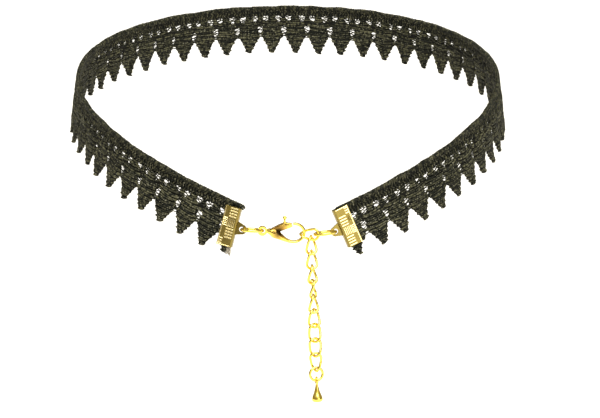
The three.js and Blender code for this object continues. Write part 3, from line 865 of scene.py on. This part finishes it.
# %% Draw one group of the braid
braid_pitch = 0.84
braid_from, braid_to = 170.75, -173.6
braid_count = round((braid_from - braid_to) / braid_pitch) + 1
overcast = (-0.90, 0.0, 0.16, 0.34)
braid_rings = [
    (0.0, (-0.95, 0.02, 0.16, 0.36)),
    (braid_pitch / 2, overcast),
    (0.0, (-1.62, -0.80, 0.30, 0.30)),
    (0.0, (-2.25, -1.45, -0.30, 0.30)),
    (0.0, (-2.92, -2.10, 0.16, 0.34)),
]


def leaning_rings(table):
    """Rings that go up and down through the band, each with its place along it and its form."""
    return [ring(low, high, place, lean, bulge, 0.0, upright=True)
            for place, (low, high, lean, bulge) in table]


edge_rings = [(braid_from + (k + 1) * braid_pitch / 2, overcast) for k in range(2)]
one_braid = add_object("braid_unit", rows_mesh("braid_unit", leaning_rings(braid_rings)))
band_stitches = sewn("band_stitches", rows_mesh("braid_end", leaning_rings(edge_rings)), one_braid, 7,
                     0.23, (0.05, 0.05, 0.03), 5, 1, braid_count, braid_to, braid_pitch, band_thread)
print("groups in the braid:", braid_count)

# %% [markdown]
# ## The lace joins the frame
#
# The ground is the cloth, cut as a strip 14 mm wide and 346 mm long, less its gaps. The stitches are
# pieces on it. All of them ride on the body of the necklace.

lace_pieces = [tooth_stitches, gap_stitches, loose_threads, band_stitches, pale_ends, dark_ends]
for piece in [lace_ground, *lace_pieces]:
    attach(piece, "necklace")
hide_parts("lace_band")
lace_ground.name = "lace_ground"
for helper in (rooms, tails, one_tooth, one_gap, one_loose, one_braid):
    bpy.data.objects.remove(helper)


# %% [markdown]
# ## Frames of the fittings
#
# Each fitting hangs where the CAD has put it. Its middle and two of its directions are listed here,
# in millimetres, and `placed` moves a mesh drawn at the origin to that place.

# %% Frames
def frame_of(origin, x_axis, z_axis):
    x, z = Vector(x_axis).normalized(), Vector(z_axis).normalized()
    y = z.cross(x)
    turned = Matrix((x, y, z)).transposed().to_4x4()
    return Matrix.Translation(Vector(origin) * mm) @ turned


frames = {
    "clamp_left": frame_of((-16.20222, -58.65334, -15.27431), (0.93089, -0.28836, -0.22427),
                           (-0.2639, -0.95534, 0.13295)),
    "clamp_right": frame_of((13.71695, -59.29161, -15.33084), (-0.89073, -0.25763, -0.37447),
                            (0.22339, -0.96562, 0.13295)),
    "jump_ring_left": frame_of((-10.48958, -60.16434, -16.07565), (0.97804, -0.20719, -0.02269),
                               (0.05168, 0.13564, 0.98941)),
    "jump_ring_right": frame_of((8.12949, -60.58243, -16.8558), (0.98076, 0.16321, 0.10711),
                                (-0.12683, 0.11563, 0.98516)),
    "clasp": frame_of((-7.84888, -60.72376, -16.1369), (0.99948, -0.02244, -0.02309),
                      (0.02308, -0.00052, 0.99973)),
    "chain_link_1": frame_of((4.13214, -60.9928, -17.11382), (0.03219, 0.70656, 0.70692),
                             (0.99948, -0.02244, -0.02309)),
    "end_ring": frame_of((5.68052, -66.46965, -52.44053), (0.96654, 0.25652, -0.00066),
                         (0.25418, -0.95736, 0.1373)),
    "end_drop": frame_of((5.73846, -66.6922, -54.09967), (0.96654, 0.25652, -0.00066),
                         (-0.03459, 0.13287, 0.99053)),
}


def placed(piece, where, body="necklace"):
    """Moves a finished mesh to its frame and joins it to the CAD body."""
    piece.data.transform(where)
    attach(piece, body)
    return piece


quarter_turn = Matrix.Rotation(math.radians(90), 4, "X")
print("frames of fittings:", len(frames))

# %% [markdown]
# ## Chain links
#
# A curb link is a loop of wire, twisted by a quarter turn from one end to the other so that equal
# links lie in each other. The loop is drawn flat, and the tree twists it and sweeps the wire along
# it. The same tree makes each of the ten links, and also the jump rings and the rings at the chain's
# end, with no twist and no straight sides.

# %% Build the wire tree
def wire_tree():
    tree, given, end = new_tree("bent wire", Wire="Float", Sides="Int", Twist="Float",
                                Material="Material")
    curve = step(tree, "GeometryNodeMeshToCurve", given["Geometry"])
    place = step(tree, "GeometryNodeInputPosition")
    angle = calc(tree, "MULTIPLY", split(tree, place)["Z"], given["Twist"])
    turned = step(tree, "ShaderNodeVectorRotate", place, (0.0, 0.0, 0.0), (0.0, 0.0, 1.0), angle)
    curve = step(tree, "GeometryNodeSetPosition", curve, None, turned)
    circle = step(tree, "GeometryNodeCurvePrimitiveCircle", given["Sides"],
                  calc(tree, "MULTIPLY", given["Wire"], 0.5))
    tube = step(tree, "GeometryNodeCurveToMesh", curve, circle, 1.0, True)
    tube = step(tree, "GeometryNodeSetShadeSmooth", tube)
    return end_with(tree, end, tube, given["Material"])


bent_wire = wire_tree()
level = 1e-9


def loop_outline(radius, straight, count=64, opening=0.0):
    """A loop in the XZ plane: two half circles and two straight sides, with an opening in radians."""
    points = []
    for k in range(count + (1 if opening else 0)):
        angle = opening / 2 + (2 * math.pi - opening) * k / count
        x, z = radius * math.cos(angle), radius * math.sin(angle)
        if abs(z) > level:
            z += math.copysign(straight, z)
        points.append((x * mm, 0, z * mm))
    last = len(points) - 1
    edges = [(k, k + 1) for k in range(last)] + ([] if opening else [(last, 0)])
    return mesh_from("loop", points, edges)


# %% Make the links
link_length, link_width, link_wire = 5.3, 3.5, 0.65
link_twist = math.radians(45) * 2 / (link_length * mm)
link_turns = [45, 42, 60, 80, 55, 28, 5, -12, -30]
chain_middle = Vector((4.53559, -62.07169, -19.65399))
chain_axis = Vector((-0.03459, 0.13287, 0.99053)).normalized()
link_pitch = 3.75
gold_pieces = {}


def bent_loop(name, outer, wire, length=None, twist=0.0, opening=0.0, sides=16):
    """A loop of gold wire, its outer width and its wire in millimetres, longer if a length is given."""
    outline = loop_outline((outer - wire) / 2, ((length or outer) - outer) / 2, opening=opening)
    return grown(name, outline, bent_wire, Wire=wire * mm, Sides=sides, Twist=twist, Material=bright_gold)


def twisted_link(name, where):
    return placed(bent_loop(name, link_width, link_wire, link_length, link_twist), where)


def chain_frame(index):
    """The frame of a hanging link, turned about the chain by its own angle."""
    side = Vector((0, 1, 0)) - chain_axis * chain_axis.y
    x_axis = side.normalized().cross(chain_axis)
    turned = Matrix.Rotation(math.radians(link_turns[index]), 3, chain_axis) @ x_axis
    return frame_of(chain_middle - chain_axis * link_pitch * index, turned, chain_axis)


gold_pieces["chain_link_1"] = twisted_link("wire_link_1", frames["chain_link_1"])
for index in range(len(link_turns)):
    gold_pieces[f"chain_link_{index + 2}"] = twisted_link(f"wire_link_{index + 2}", chain_frame(index))

# %% Make the rings
ring_sizes = {
    "jump_ring_left": (6.2, 0.8, 0.03),
    "jump_ring_right": (6.2, 0.8, 0.03),
    "end_ring": (4.0, 0.65, 0.0),
}
for node, (outer, wire, opening) in ring_sizes.items():
    round_loop = bent_loop("wire_" + node, outer, wire, opening=opening)
    round_loop.data.transform(quarter_turn)
    gold_pieces[node] = placed(round_loop, frames[node])

# %% [markdown]
# ## The drop
#
# The small weight at the chain's end is turned on a lathe: narrow at the top, flared at the foot. Its
# outline is spun about its own axis. The bail it hangs from is a ring of finer wire.

# %% Spin the drop
drop_length, drop_width = 4.8, 2.8
drop_outline = [
    (0.0, 1.0), (0.12, 0.995), (0.19, 0.97), (0.25, 0.9), (0.34, 0.78), (0.47, 0.64), (0.62, 0.5),
    (0.79, 0.38), (0.93, 0.28), (1.0, 0.19), (0.98, 0.12), (0.86, 0.06), (0.6, 0.02), (0.0, 0.0),
]


def spun(name, outline, steps=40):
    """A closed solid of revolution about Z, outline as radius and height in millimetres."""
    points, faces = [], []
    for radius, height in outline[1:-1]:
        for k in range(steps):
            angle = 2 * math.pi * k / steps
            points.append((radius * math.cos(angle) * mm, radius * math.sin(angle) * mm, height * mm))
    for row in range(len(outline) - 3):
        for k in range(steps):
            a, b = row * steps + k, row * steps + (k + 1) % steps
            faces.append((a, a + steps, b + steps, b))
    top, foot = len(points), len(points) + 1
    points += [(0, 0, outline[0][1] * mm), (0, 0, outline[-1][1] * mm)]
    last = (len(outline) - 3) * steps
    faces += [(top, k, (k + 1) % steps) for k in range(steps)]
    faces += [(foot, last + (k + 1) % steps, last + k) for k in range(steps)]
    mesh = mesh_from(name, points, faces=faces)
    mesh.shade_smooth()
    return add_object(name, mesh)


def joined(name, pieces):
    """One object from several, with their materials."""
    shell = bmesh.new()
    for piece in pieces:
        shell.from_mesh(piece.data)
    mesh = bpy.data.meshes.new(name)
    shell.to_mesh(mesh)
    shell.free()
    mesh.materials.append(pieces[0].data.materials[0])
    for piece in pieces:
        bpy.data.objects.remove(piece)
    mesh.shade_smooth()
    return add_object(name, mesh)


bail_outer, bail_wire = 2.15, 0.5
body_top = 0.6 * bail_wire - bail_outer / 2
outline = [(radius * drop_width / 2, body_top + (height - 1) * drop_length)
           for radius, height in drop_outline]
drop_body = coated(spun("drop_body", outline), bright_gold)
bail = bent_loop("bail", bail_outer, bail_wire, sides=14)
bail.data.transform(Matrix.Rotation(math.radians(90), 4, "Z"))
gold_pieces["end_drop"] = placed(joined("gold_drop", [drop_body, bail]), frames["end_drop"])

# %% [markdown]
# ## The lobster clasp
#
# The clasp is cast: an eye, a swelling body that holds the lever and its spring, and a hook that
# comes round to meet the lever's tip. The body is a skin over sections along a bent line, as a ship's
# hull is, and the slot and the hole of the eye are cut from it afterwards. The lever is cut from plate,
# with a ball for the thumb.

# %% Sections of the clasp
clasp_reach, clasp_height, clasp_depth = 11.0, 5.4, 3.0
clasp_sections = [
    (0.080, 0.000, 0.078, 0.15), (0.127, -0.004, 0.115, 0.26), (0.191, -0.022, 0.181, 0.40),
    (0.264, -0.065, 0.244, 0.49), (0.336, -0.148, 0.231, 0.48), (0.400, -0.241, 0.176, 0.43),
    (0.473, -0.333, 0.126, 0.36), (0.555, -0.417, 0.093, 0.29), (0.645, -0.481, 0.078, 0.25),
    (0.736, -0.500, 0.070, 0.23), (0.827, -0.454, 0.069, 0.23), (0.905, -0.343, 0.069, 0.23),
    (0.955, -0.194, 0.069, 0.23), (0.966, -0.028, 0.069, 0.23), (0.945, 0.139, 0.069, 0.23),
    (0.891, 0.269, 0.067, 0.23), (0.818, 0.348, 0.065, 0.23), (0.759, 0.367, 0.063, 0.22),
    (0.705, 0.361, 0.060, 0.21),
]


def curved(p, q, r, s, t):
    """A value between q and r, at the share t, on a curve that also heeds their neighbours."""
    square, cube = 2 * p - 5 * q + 4 * r - s, 3 * q - p - 3 * r + s
    return 0.5 * (2 * q + (r - p) * t + square * t * t + cube * t ** 3)


def smooth_rows(rows, parts=4):
    """More rows between the given ones, on a curve through them."""
    fine = []
    for k in range(len(rows) - 1):
        near = [rows[min(max(k + shift, 0), len(rows) - 1)] for shift in (-1, 0, 1, 2)]
        for part in range(parts):
            fine.append(tuple(curved(*values, part / parts) for values in zip(*near)))
    return fine + [rows[-1]]


def skin(name, sections, sides=28):
    """A closed tube over sections in the XZ plane: x, z, half across and half deep."""
    rings, points, faces = len(sections), [], []
    for index, (x, z, across, deep) in enumerate(sections):
        before, after = sections[max(index - 1, 0)], sections[min(index + 1, rings - 1)]
        ahead = Vector((after[0] - before[0], 0, after[1] - before[1])).normalized()
        up = Vector((-ahead.z, 0, ahead.x))
        for k in range(sides):
            angle = 2 * math.pi * k / sides
            point = Vector((x, 0, z)) + up * across * math.cos(angle)
            points.append((point + Vector((0, deep * math.sin(angle), 0))) * mm)
    for ring in range(rings - 1):
        for k in range(sides):
            a, b = ring * sides + k, ring * sides + (k + 1) % sides
            faces.append((a, a + sides, b + sides, b))
    faces.append(tuple(range(sides)))
    faces.append(tuple(reversed(range((rings - 1) * sides, rings * sides))))
    return add_object(name, closed_mesh(name, points, faces))


def plate(name, outline, thickness, holes=()):
    """A flat plate in the XZ plane, with its middle at Y = 0, outline in millimetres."""
    rings = [[Vector((x, z, 0)) for x, z in ring] for ring in [outline, *holes]]
    points = [point for ring in rings for point in ring]
    triangles = tessellate_polygon(rings)
    count = len(points)
    both = [(p.x * mm, y * thickness / 2 * mm, p.y * mm) for y in (-1, 1) for p in points]
    faces = [tuple(t) for t in triangles] + [tuple(i + count for i in reversed(t)) for t in triangles]
    start = 0
    for ring in rings:
        for k in range(len(ring)):
            a, b = start + k, start + (k + 1) % len(ring)
            faces.append((a, b, b + count, a + count))
        start += len(ring)
    return add_object(name, closed_mesh(name, both, faces, flat=True))


def arc(x, z, radius, start, end, steps):
    """Points of an arc in degrees."""
    turns = [math.radians(start + (end - start) * k / steps) for k in range(steps + 1)]
    return [(x + radius * math.cos(turn), z + radius * math.sin(turn)) for turn in turns]


def circle(x, z, radius, count):
    """Points all round, evenly spaced."""
    return arc(x, z, radius, 0, 360 - 360 / count, count - 1)


def half_circle(radius, turn):
    """An outline for a ball to be spun, with a point at each so many degrees."""
    turns = [math.radians(angle) for angle in range(0, 181, turn)]
    return [(radius * math.sin(angle), radius * math.cos(angle)) for angle in turns]


def settled(piece):
    """Keeps the mesh that a piece has through its modifiers, and drops them."""
    mesh = kept_mesh(piece)
    piece.modifiers.clear()
    piece.data = mesh
    return piece


def carved(piece, operation, tools):
    """Cuts tools out of a piece, or joins them to it, and keeps a plain mesh."""
    for tool in tools:
        modifier = piece.modifiers.new(operation.lower(), "BOOLEAN")
        modifier.operation = operation
        modifier.solver = "EXACT"
        modifier.object = tool
    settled(piece)
    for tool in tools:
        bpy.data.objects.remove(tool)
    return piece


def softened(piece, width, segments=2, angle=35):
    """Rounds the sharp edges of a piece a little and keeps a plain mesh."""
    bevel = piece.modifiers.new("soft edges", "BEVEL")
    bevel.width, bevel.segments = width * mm, segments
    bevel.limit_method, bevel.angle_limit = "ANGLE", math.radians(angle)
    bevel.harden_normals = False
    return settled(piece)


# %% Cast the body
pivot_x, pivot_z = 0.264 * clasp_reach, 0.028 * clasp_height
hub_radius, rivet_radius, lever_play = 0.8, 0.35, 0.2
lever_thickness, slot_end = 1.3, 0.51 * clasp_reach
eye_hole, eye_wall, eye_depth = 0.7, 0.5, 1.1

sections = [(x * clasp_reach, z * clasp_height, a * clasp_height, d * clasp_depth)
            for x, z, a, d in smooth_rows(clasp_sections)]
hook = skin("hook", sections)
eye = plate("eye", circle(0, 0, eye_hole + eye_wall, 60), eye_depth)
bore = plate("bore", circle(0, 0, eye_hole, 45), 2 * clasp_depth)
room = hub_radius + lever_play
slot_outline = [(slot_end, clasp_height), (pivot_x - room, clasp_height), (pivot_x - room, pivot_z)]
slot_outline += arc(pivot_x, pivot_z, room, 190, 270, 10) + [(slot_end, pivot_z - room)]
slot_room = plate("slot_room", slot_outline, lever_thickness + 2 * lever_play)
clasp_body = carved(hook, "UNION", [eye])
clasp_body = carved(clasp_body, "DIFFERENCE", [bore, slot_room])
coated(clasp_body, body_gold)
clasp_body.data.set_sharp_from_angle(angle=math.radians(38))
clasp_body.name = "cast_clasp_body"
print("clasp body:", len(clasp_body.data.polygons), "faces")
gold_pieces["clasp_body"] = placed(clasp_body, frames["clasp"])

# %% Cut the lever and the rivet
tip_reach = 0.445 * clasp_reach
lever_back = [
    (0.600, 0.400), (0.565, 0.412), (0.540, 0.435), (0.532, 0.50), (0.530, 0.650), (0.490, 0.650),
    (0.487, 0.50), (0.478, 0.43), (0.455, 0.385), (0.41, 0.345), (0.360, 0.300),
]
button_radius, button_x, button_z = 0.5, 0.510 * clasp_reach, 0.650 * clasp_height
lever_outline = [(x * clasp_reach, z * clasp_height) for x, z in lever_back]
lever_outline += arc(pivot_x, pivot_z, hub_radius, 100, 270, 17)
lever_outline += arc(pivot_x, pivot_z, tip_reach, 14, 24, 6)
lever = softened(plate("cast_clasp_lever", lever_outline, lever_thickness), 0.14, 3)
ball = spun("ball", half_circle(button_radius, 12), 24)
ball.data.transform(Matrix.Translation((button_x * mm, 0, button_z * mm)))
lever = coated(carved(lever, "UNION", [ball]), lever_gold)
lever.data.shade_smooth()
lever.data.set_sharp_from_angle(angle=math.radians(45))
gold_pieces["clasp_lever"] = placed(lever, frames["clasp"], "lever")

rivet_half = 0.9 * clasp_depth / 2
rivet_outline = [
    (0, rivet_half + 0.06), (0.2, rivet_half + 0.04), (0.32, rivet_half - 0.02),
    (rivet_radius, rivet_half - 0.1), (rivet_radius, 0.1 - rivet_half), (0.32, 0.02 - rivet_half),
    (0.2, -0.04 - rivet_half), (0, -0.06 - rivet_half),
]
rivet = coated(spun("round_rivet", rivet_outline, 24), body_gold)
turn_rivet = Matrix.Translation((pivot_x * mm, 0, pivot_z * mm)) @ quarter_turn
gold_pieces["clasp_rivet"] = placed(rivet, frames["clasp"] @ turn_rivet)

# %% Each gold piece stands for its CAD node
for node, piece in gold_pieces.items():
    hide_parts(node)
print("gold pieces:", len(gold_pieces))

# %% [markdown]
# ## The ribbon clamps
#
# A ribbon clamp is stamped from sheet and folded round the end of the lace. Its front carries rows of
# short raised ribs that stiffen it, fine lines between them, and a raised rim. A loop sticks out of
# the spine. The folded sheet is drawn once and the ribs are set on it by Geometry Nodes, which read
# the size of each rib from the points that they are given.

# %% Fold the plate
clamp_plate_size, clamp_gap = 0.4, 1.4
fold_inner, fold_outer = 0.2, 0.5
clamp_face = clamp_gap / 2 + clamp_plate_size
rib_share, rib_height = 0.5, 0.15
line_share, line_height = 0.45, 0.1


def fold_outline():
    """The folded sheet from its end: an outer bend, an inner bend, and the gap for the lace."""
    outer, inner = clamp_width / 2, clamp_face - clamp_plate_size
    path = [(-outer, clamp_face), (-outer, inner)]
    for sign, start, end in ((1, 90, 0), (-1, 0, -90)):
        path += arc(outer - clamp_plate_size - fold_inner, sign * (inner - fold_inner), fold_inner,
                    start, end, 4)
    path += [(-outer, -inner), (-outer, -clamp_face)]
    for sign, start, end in ((-1, -90, 0), (1, 0, 90)):
        path += arc(outer - fold_outer, sign * (clamp_face - fold_outer), fold_outer, start, end, 6)
    return path


def across(count, low, high, near, far):
    """Ribs across the clamp between shares of its length, from a near to a far share of its width."""
    pitch = (high - low) * clamp_length / count
    x, width = (near + far) / 2 * clamp_width - clamp_width / 2, (far - near) * clamp_width
    return [(x, (0.5 - low) * clamp_length - (k + 0.5) * pitch, width, rib_share * pitch, rib_height)
            for k in range(count)]


def lengthwise(count, low, high, near, far):
    """Fine lines along the clamp, between the same shares."""
    pitch = (far - near) * clamp_width / count
    y, length = (0.5 - (low + high) / 2) * clamp_length, (high - low) * clamp_length
    return [((near - 0.5) * clamp_width + (k + 0.5) * pitch, y, line_share * pitch, length, line_height)
            for k in range(count)]


# each as its middle, x across the clamp and y along it, and its width, length and height
ribs = [
    *across(4, 0.0, 0.28, 0.36, 0.86), *across(4, 0.523, 0.81, 0.36, 0.86),
    *across(5, 0.28, 0.505, 0.07, 0.32), *across(3, 0.79, 0.98, 0.07, 0.32),
    *lengthwise(5, 0.30, 0.505, 0.30, 0.86), *lengthwise(1, 0.0, 1.0, 0.0, 0.13),
    *across(1, 0.96, 1.0, 0.0, 0.88),
]
print("ribs on a clamp:", len(ribs))


# %% Set the ribs
def rib_tree():
    tree, given, end = new_tree("stamped ribs", Plate="Object", Rib="Object", Material="Material")
    size = step(tree, "GeometryNodeInputNamedAttribute", "rib_size", data_type="FLOAT_VECTOR")
    raised = step(tree, "GeometryNodeInstanceOnPoints", given["Geometry"], None,
                  shape_of(tree, given["Rib"]), None, None, None, size)
    raised = step(tree, "GeometryNodeRealizeInstances", raised)
    raised = step(tree, "GeometryNodeSetMaterial", raised, None, given["Material"])
    feed(tree, end, step(tree, "GeometryNodeJoinGeometry", [raised, shape_of(tree, given["Plate"])]))
    return tree


def rounded_rib():
    """A rib of size one with soft shoulders, its foot below z = 0."""
    points, faces = [], []
    for inset, z in ((0.0, -0.6), (0.0, 0.55), (0.10, 0.9), (0.22, 1.0)):
        for x, y in ((-1, -1), (1, -1), (1, 1), (-1, 1)):
            points.append((x * (0.5 - 0.35 * inset), y * (0.5 - inset), z))
    for row in range(3):
        for k in range(4):
            a, b = 4 * row + k, 4 * row + (k + 1) % 4
            faces.append((a, b, b + 4, a + 4))
    faces += [(3, 2, 1, 0), (12, 13, 14, 15)]
    return add_object("rounded_rib", mesh_from("rounded_rib", points, faces=faces))


dent_place, dent_size = (-1.15, -1.75, 1.17), (0.34, 0.85, 0.25, 1)
tab_x, tab_hole, tab_wall, tab_base, tab_thickness, tab_overlap = 3.3, 0.7, 0.6, 3.6, 0.5, 0.2


def dent():
    """What a pair of pliers pressed out of the right clamp: a flat lens, to be cut from its face."""
    lens = spun("dent", half_circle(1, 15), 24)
    lens.data.transform(Matrix.Translation([part * mm for part in dent_place]) @ Matrix.Diagonal(dent_size))
    return lens


def folded_sheet(dented):
    """The folded plate with the loop on its spine."""
    foot = clamp_width / 2 - tab_overlap
    tab = [(foot, -tab_base / 2), *arc(tab_x, 0, tab_hole + tab_wall, -60, 60, 16), (foot, tab_base / 2)]
    loop = plate("loop", tab, tab_thickness, holes=[circle(tab_x, 0, tab_hole, 45)])
    loop.data.transform(quarter_turn)
    body = carved(plate("fold", fold_outline(), clamp_length), "UNION", [loop])
    if dented:
        body = carved(body, "DIFFERENCE", [dent()])
    return coated(softened(body, 0.06, 2, 40), clamp_plate)


sheets = {"clamp_left": folded_sheet(False), "clamp_right": folded_sheet(True)}
rib_shape = rounded_rib()
stamped = rib_tree()


def ribbon_clamp(name, node):
    host = mesh_from("rib_points", [(x * mm, y * mm, clamp_face * mm) for x, y, *_ in ribs])
    sizes = host.attributes.new("rib_size", "FLOAT_VECTOR", "POINT")
    sizes.data.foreach_set("vector", [part * mm for rib in ribs for part in rib[2:]])
    clamp = grown(name, host, stamped, Plate=sheets[node], Rib=rib_shape, Material=rib_finish_and_highlight)
    placed(clamp, frames[node])
    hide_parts(node)
    return clamp


clamps = [ribbon_clamp("stamped_" + node, node) for node in sheets]
for helper in (*sheets.values(), rib_shape):
    bpy.data.objects.remove(helper)
print("clamps:", [len(clamp.data.polygons) for clamp in clamps], "faces")

# %% [markdown]
# ## Floor, light and camera
#
# The photograph is bright and shadowless on white. A large pale floor far below the necklace and wide
# soft lights give that. Polished metal shows what it mirrors, so the room round it matters as much as
# the lamps: it is warm and dim at the height of the eyes and paler above, which gives the gold its
# brown edges. The camera looks at the nape from behind and a little above, through a long lens.

# %% Floor
floor_half, floor_height = 4, -0.2
floor_corners = [(x * floor_half, y * floor_half, floor_height)
                 for x, y in ((-1, -1), (1, -1), (1, 1), (-1, 1))]
floor = add_object("floor", mesh_from("floor", floor_corners, faces=[(0, 1, 2, 3)]))
floor_material, _, _ = new_material("pale floor", (0.93, 0.92, 0.90), 0.9)
coated(floor, floor_material)

# %% World and lamps
def studio_world():
    """A warm, dim room at the height of the eyes, paler towards the ceiling."""
    world = bpy.data.worlds.new("studio")
    world.use_nodes = True
    tree = world.node_tree
    height = split(tree, tree.nodes.new("ShaderNodeTexCoord").outputs["Generated"])["Z"]
    walls = ramp(tree, calc(tree, "ABSOLUTE", height),
                 [(0.0, (0.17, 0.12, 0.06)), (0.35, (0.38, 0.34, 0.26)), (0.8, (0.72, 0.70, 0.64))])
    tree.links.new(walls, tree.nodes["Background"].inputs["Color"])
    return world


bpy.context.scene.world = studio_world()


lamp_aim = (0, -0.03, -0.02)
sky_power, sky_size, sky_tip, sky_turn = 3.2, math.radians(50), math.radians(28), math.radians(15)


def soft_lamp(name, place, size, power, colour):
    """A square area lamp that faces the clasp."""
    light = bpy.data.lights.new(name, "AREA")
    light.size, light.energy, light.color = size, power, colour
    lamp = add_object(name, light)
    lamp.location = place
    lamp.rotation_euler = (Vector(lamp_aim) - Vector(place)).to_track_quat("-Z", "Y").to_euler()


soft_lamp("key", (-0.3, -0.75, 1.05), 0.6, 9, (1.0, 0.96, 0.86))
soft_lamp("fill", (0.6, -1.0, 0.15), 0.8, 4.5, (1.0, 0.96, 0.85))
sun = add_object("sky", bpy.data.lights.new("sky", "SUN"))
sun.data.energy, sun.data.angle, sun.data.color = sky_power, sky_size, (1.0, 0.99, 0.96)
sun.rotation_euler = (sky_tip, 0, sky_turn)
bpy.context.scene.view_settings.view_transform = "Standard"

# %% Camera
view_distance, fitted_lens, framing = 0.800, 189.5, 0.92
sensor_width = 36.0
azimuth, elevation, roll = math.radians(1.442), math.radians(12.706), math.radians(-0.087)
aim = Vector((3.245, 0, -24.22)) * mm
turn = Matrix.Rotation(roll, 3, "Y")
turn = turn @ Matrix.Rotation(elevation, 3, "X") @ Matrix.Rotation(azimuth, 3, "Z")
back = turn.transposed()
right, forward, up = back @ Vector((1, 0, 0)), back @ Vector((0, 1, 0)), back @ Vector((0, 0, 1))
camera_data = bpy.data.cameras.new("camera")
camera_data.lens, camera_data.sensor_width = fitted_lens * framing, sensor_width
camera = add_object("camera", camera_data)
camera.matrix_world = Matrix.Translation(aim - forward * view_distance) @ Matrix(
    (right, up, -forward)).transposed().to_4x4()
bpy.context.scene.camera = camera
print("camera at", [round(value, 3) for value in camera.matrix_world.translation])
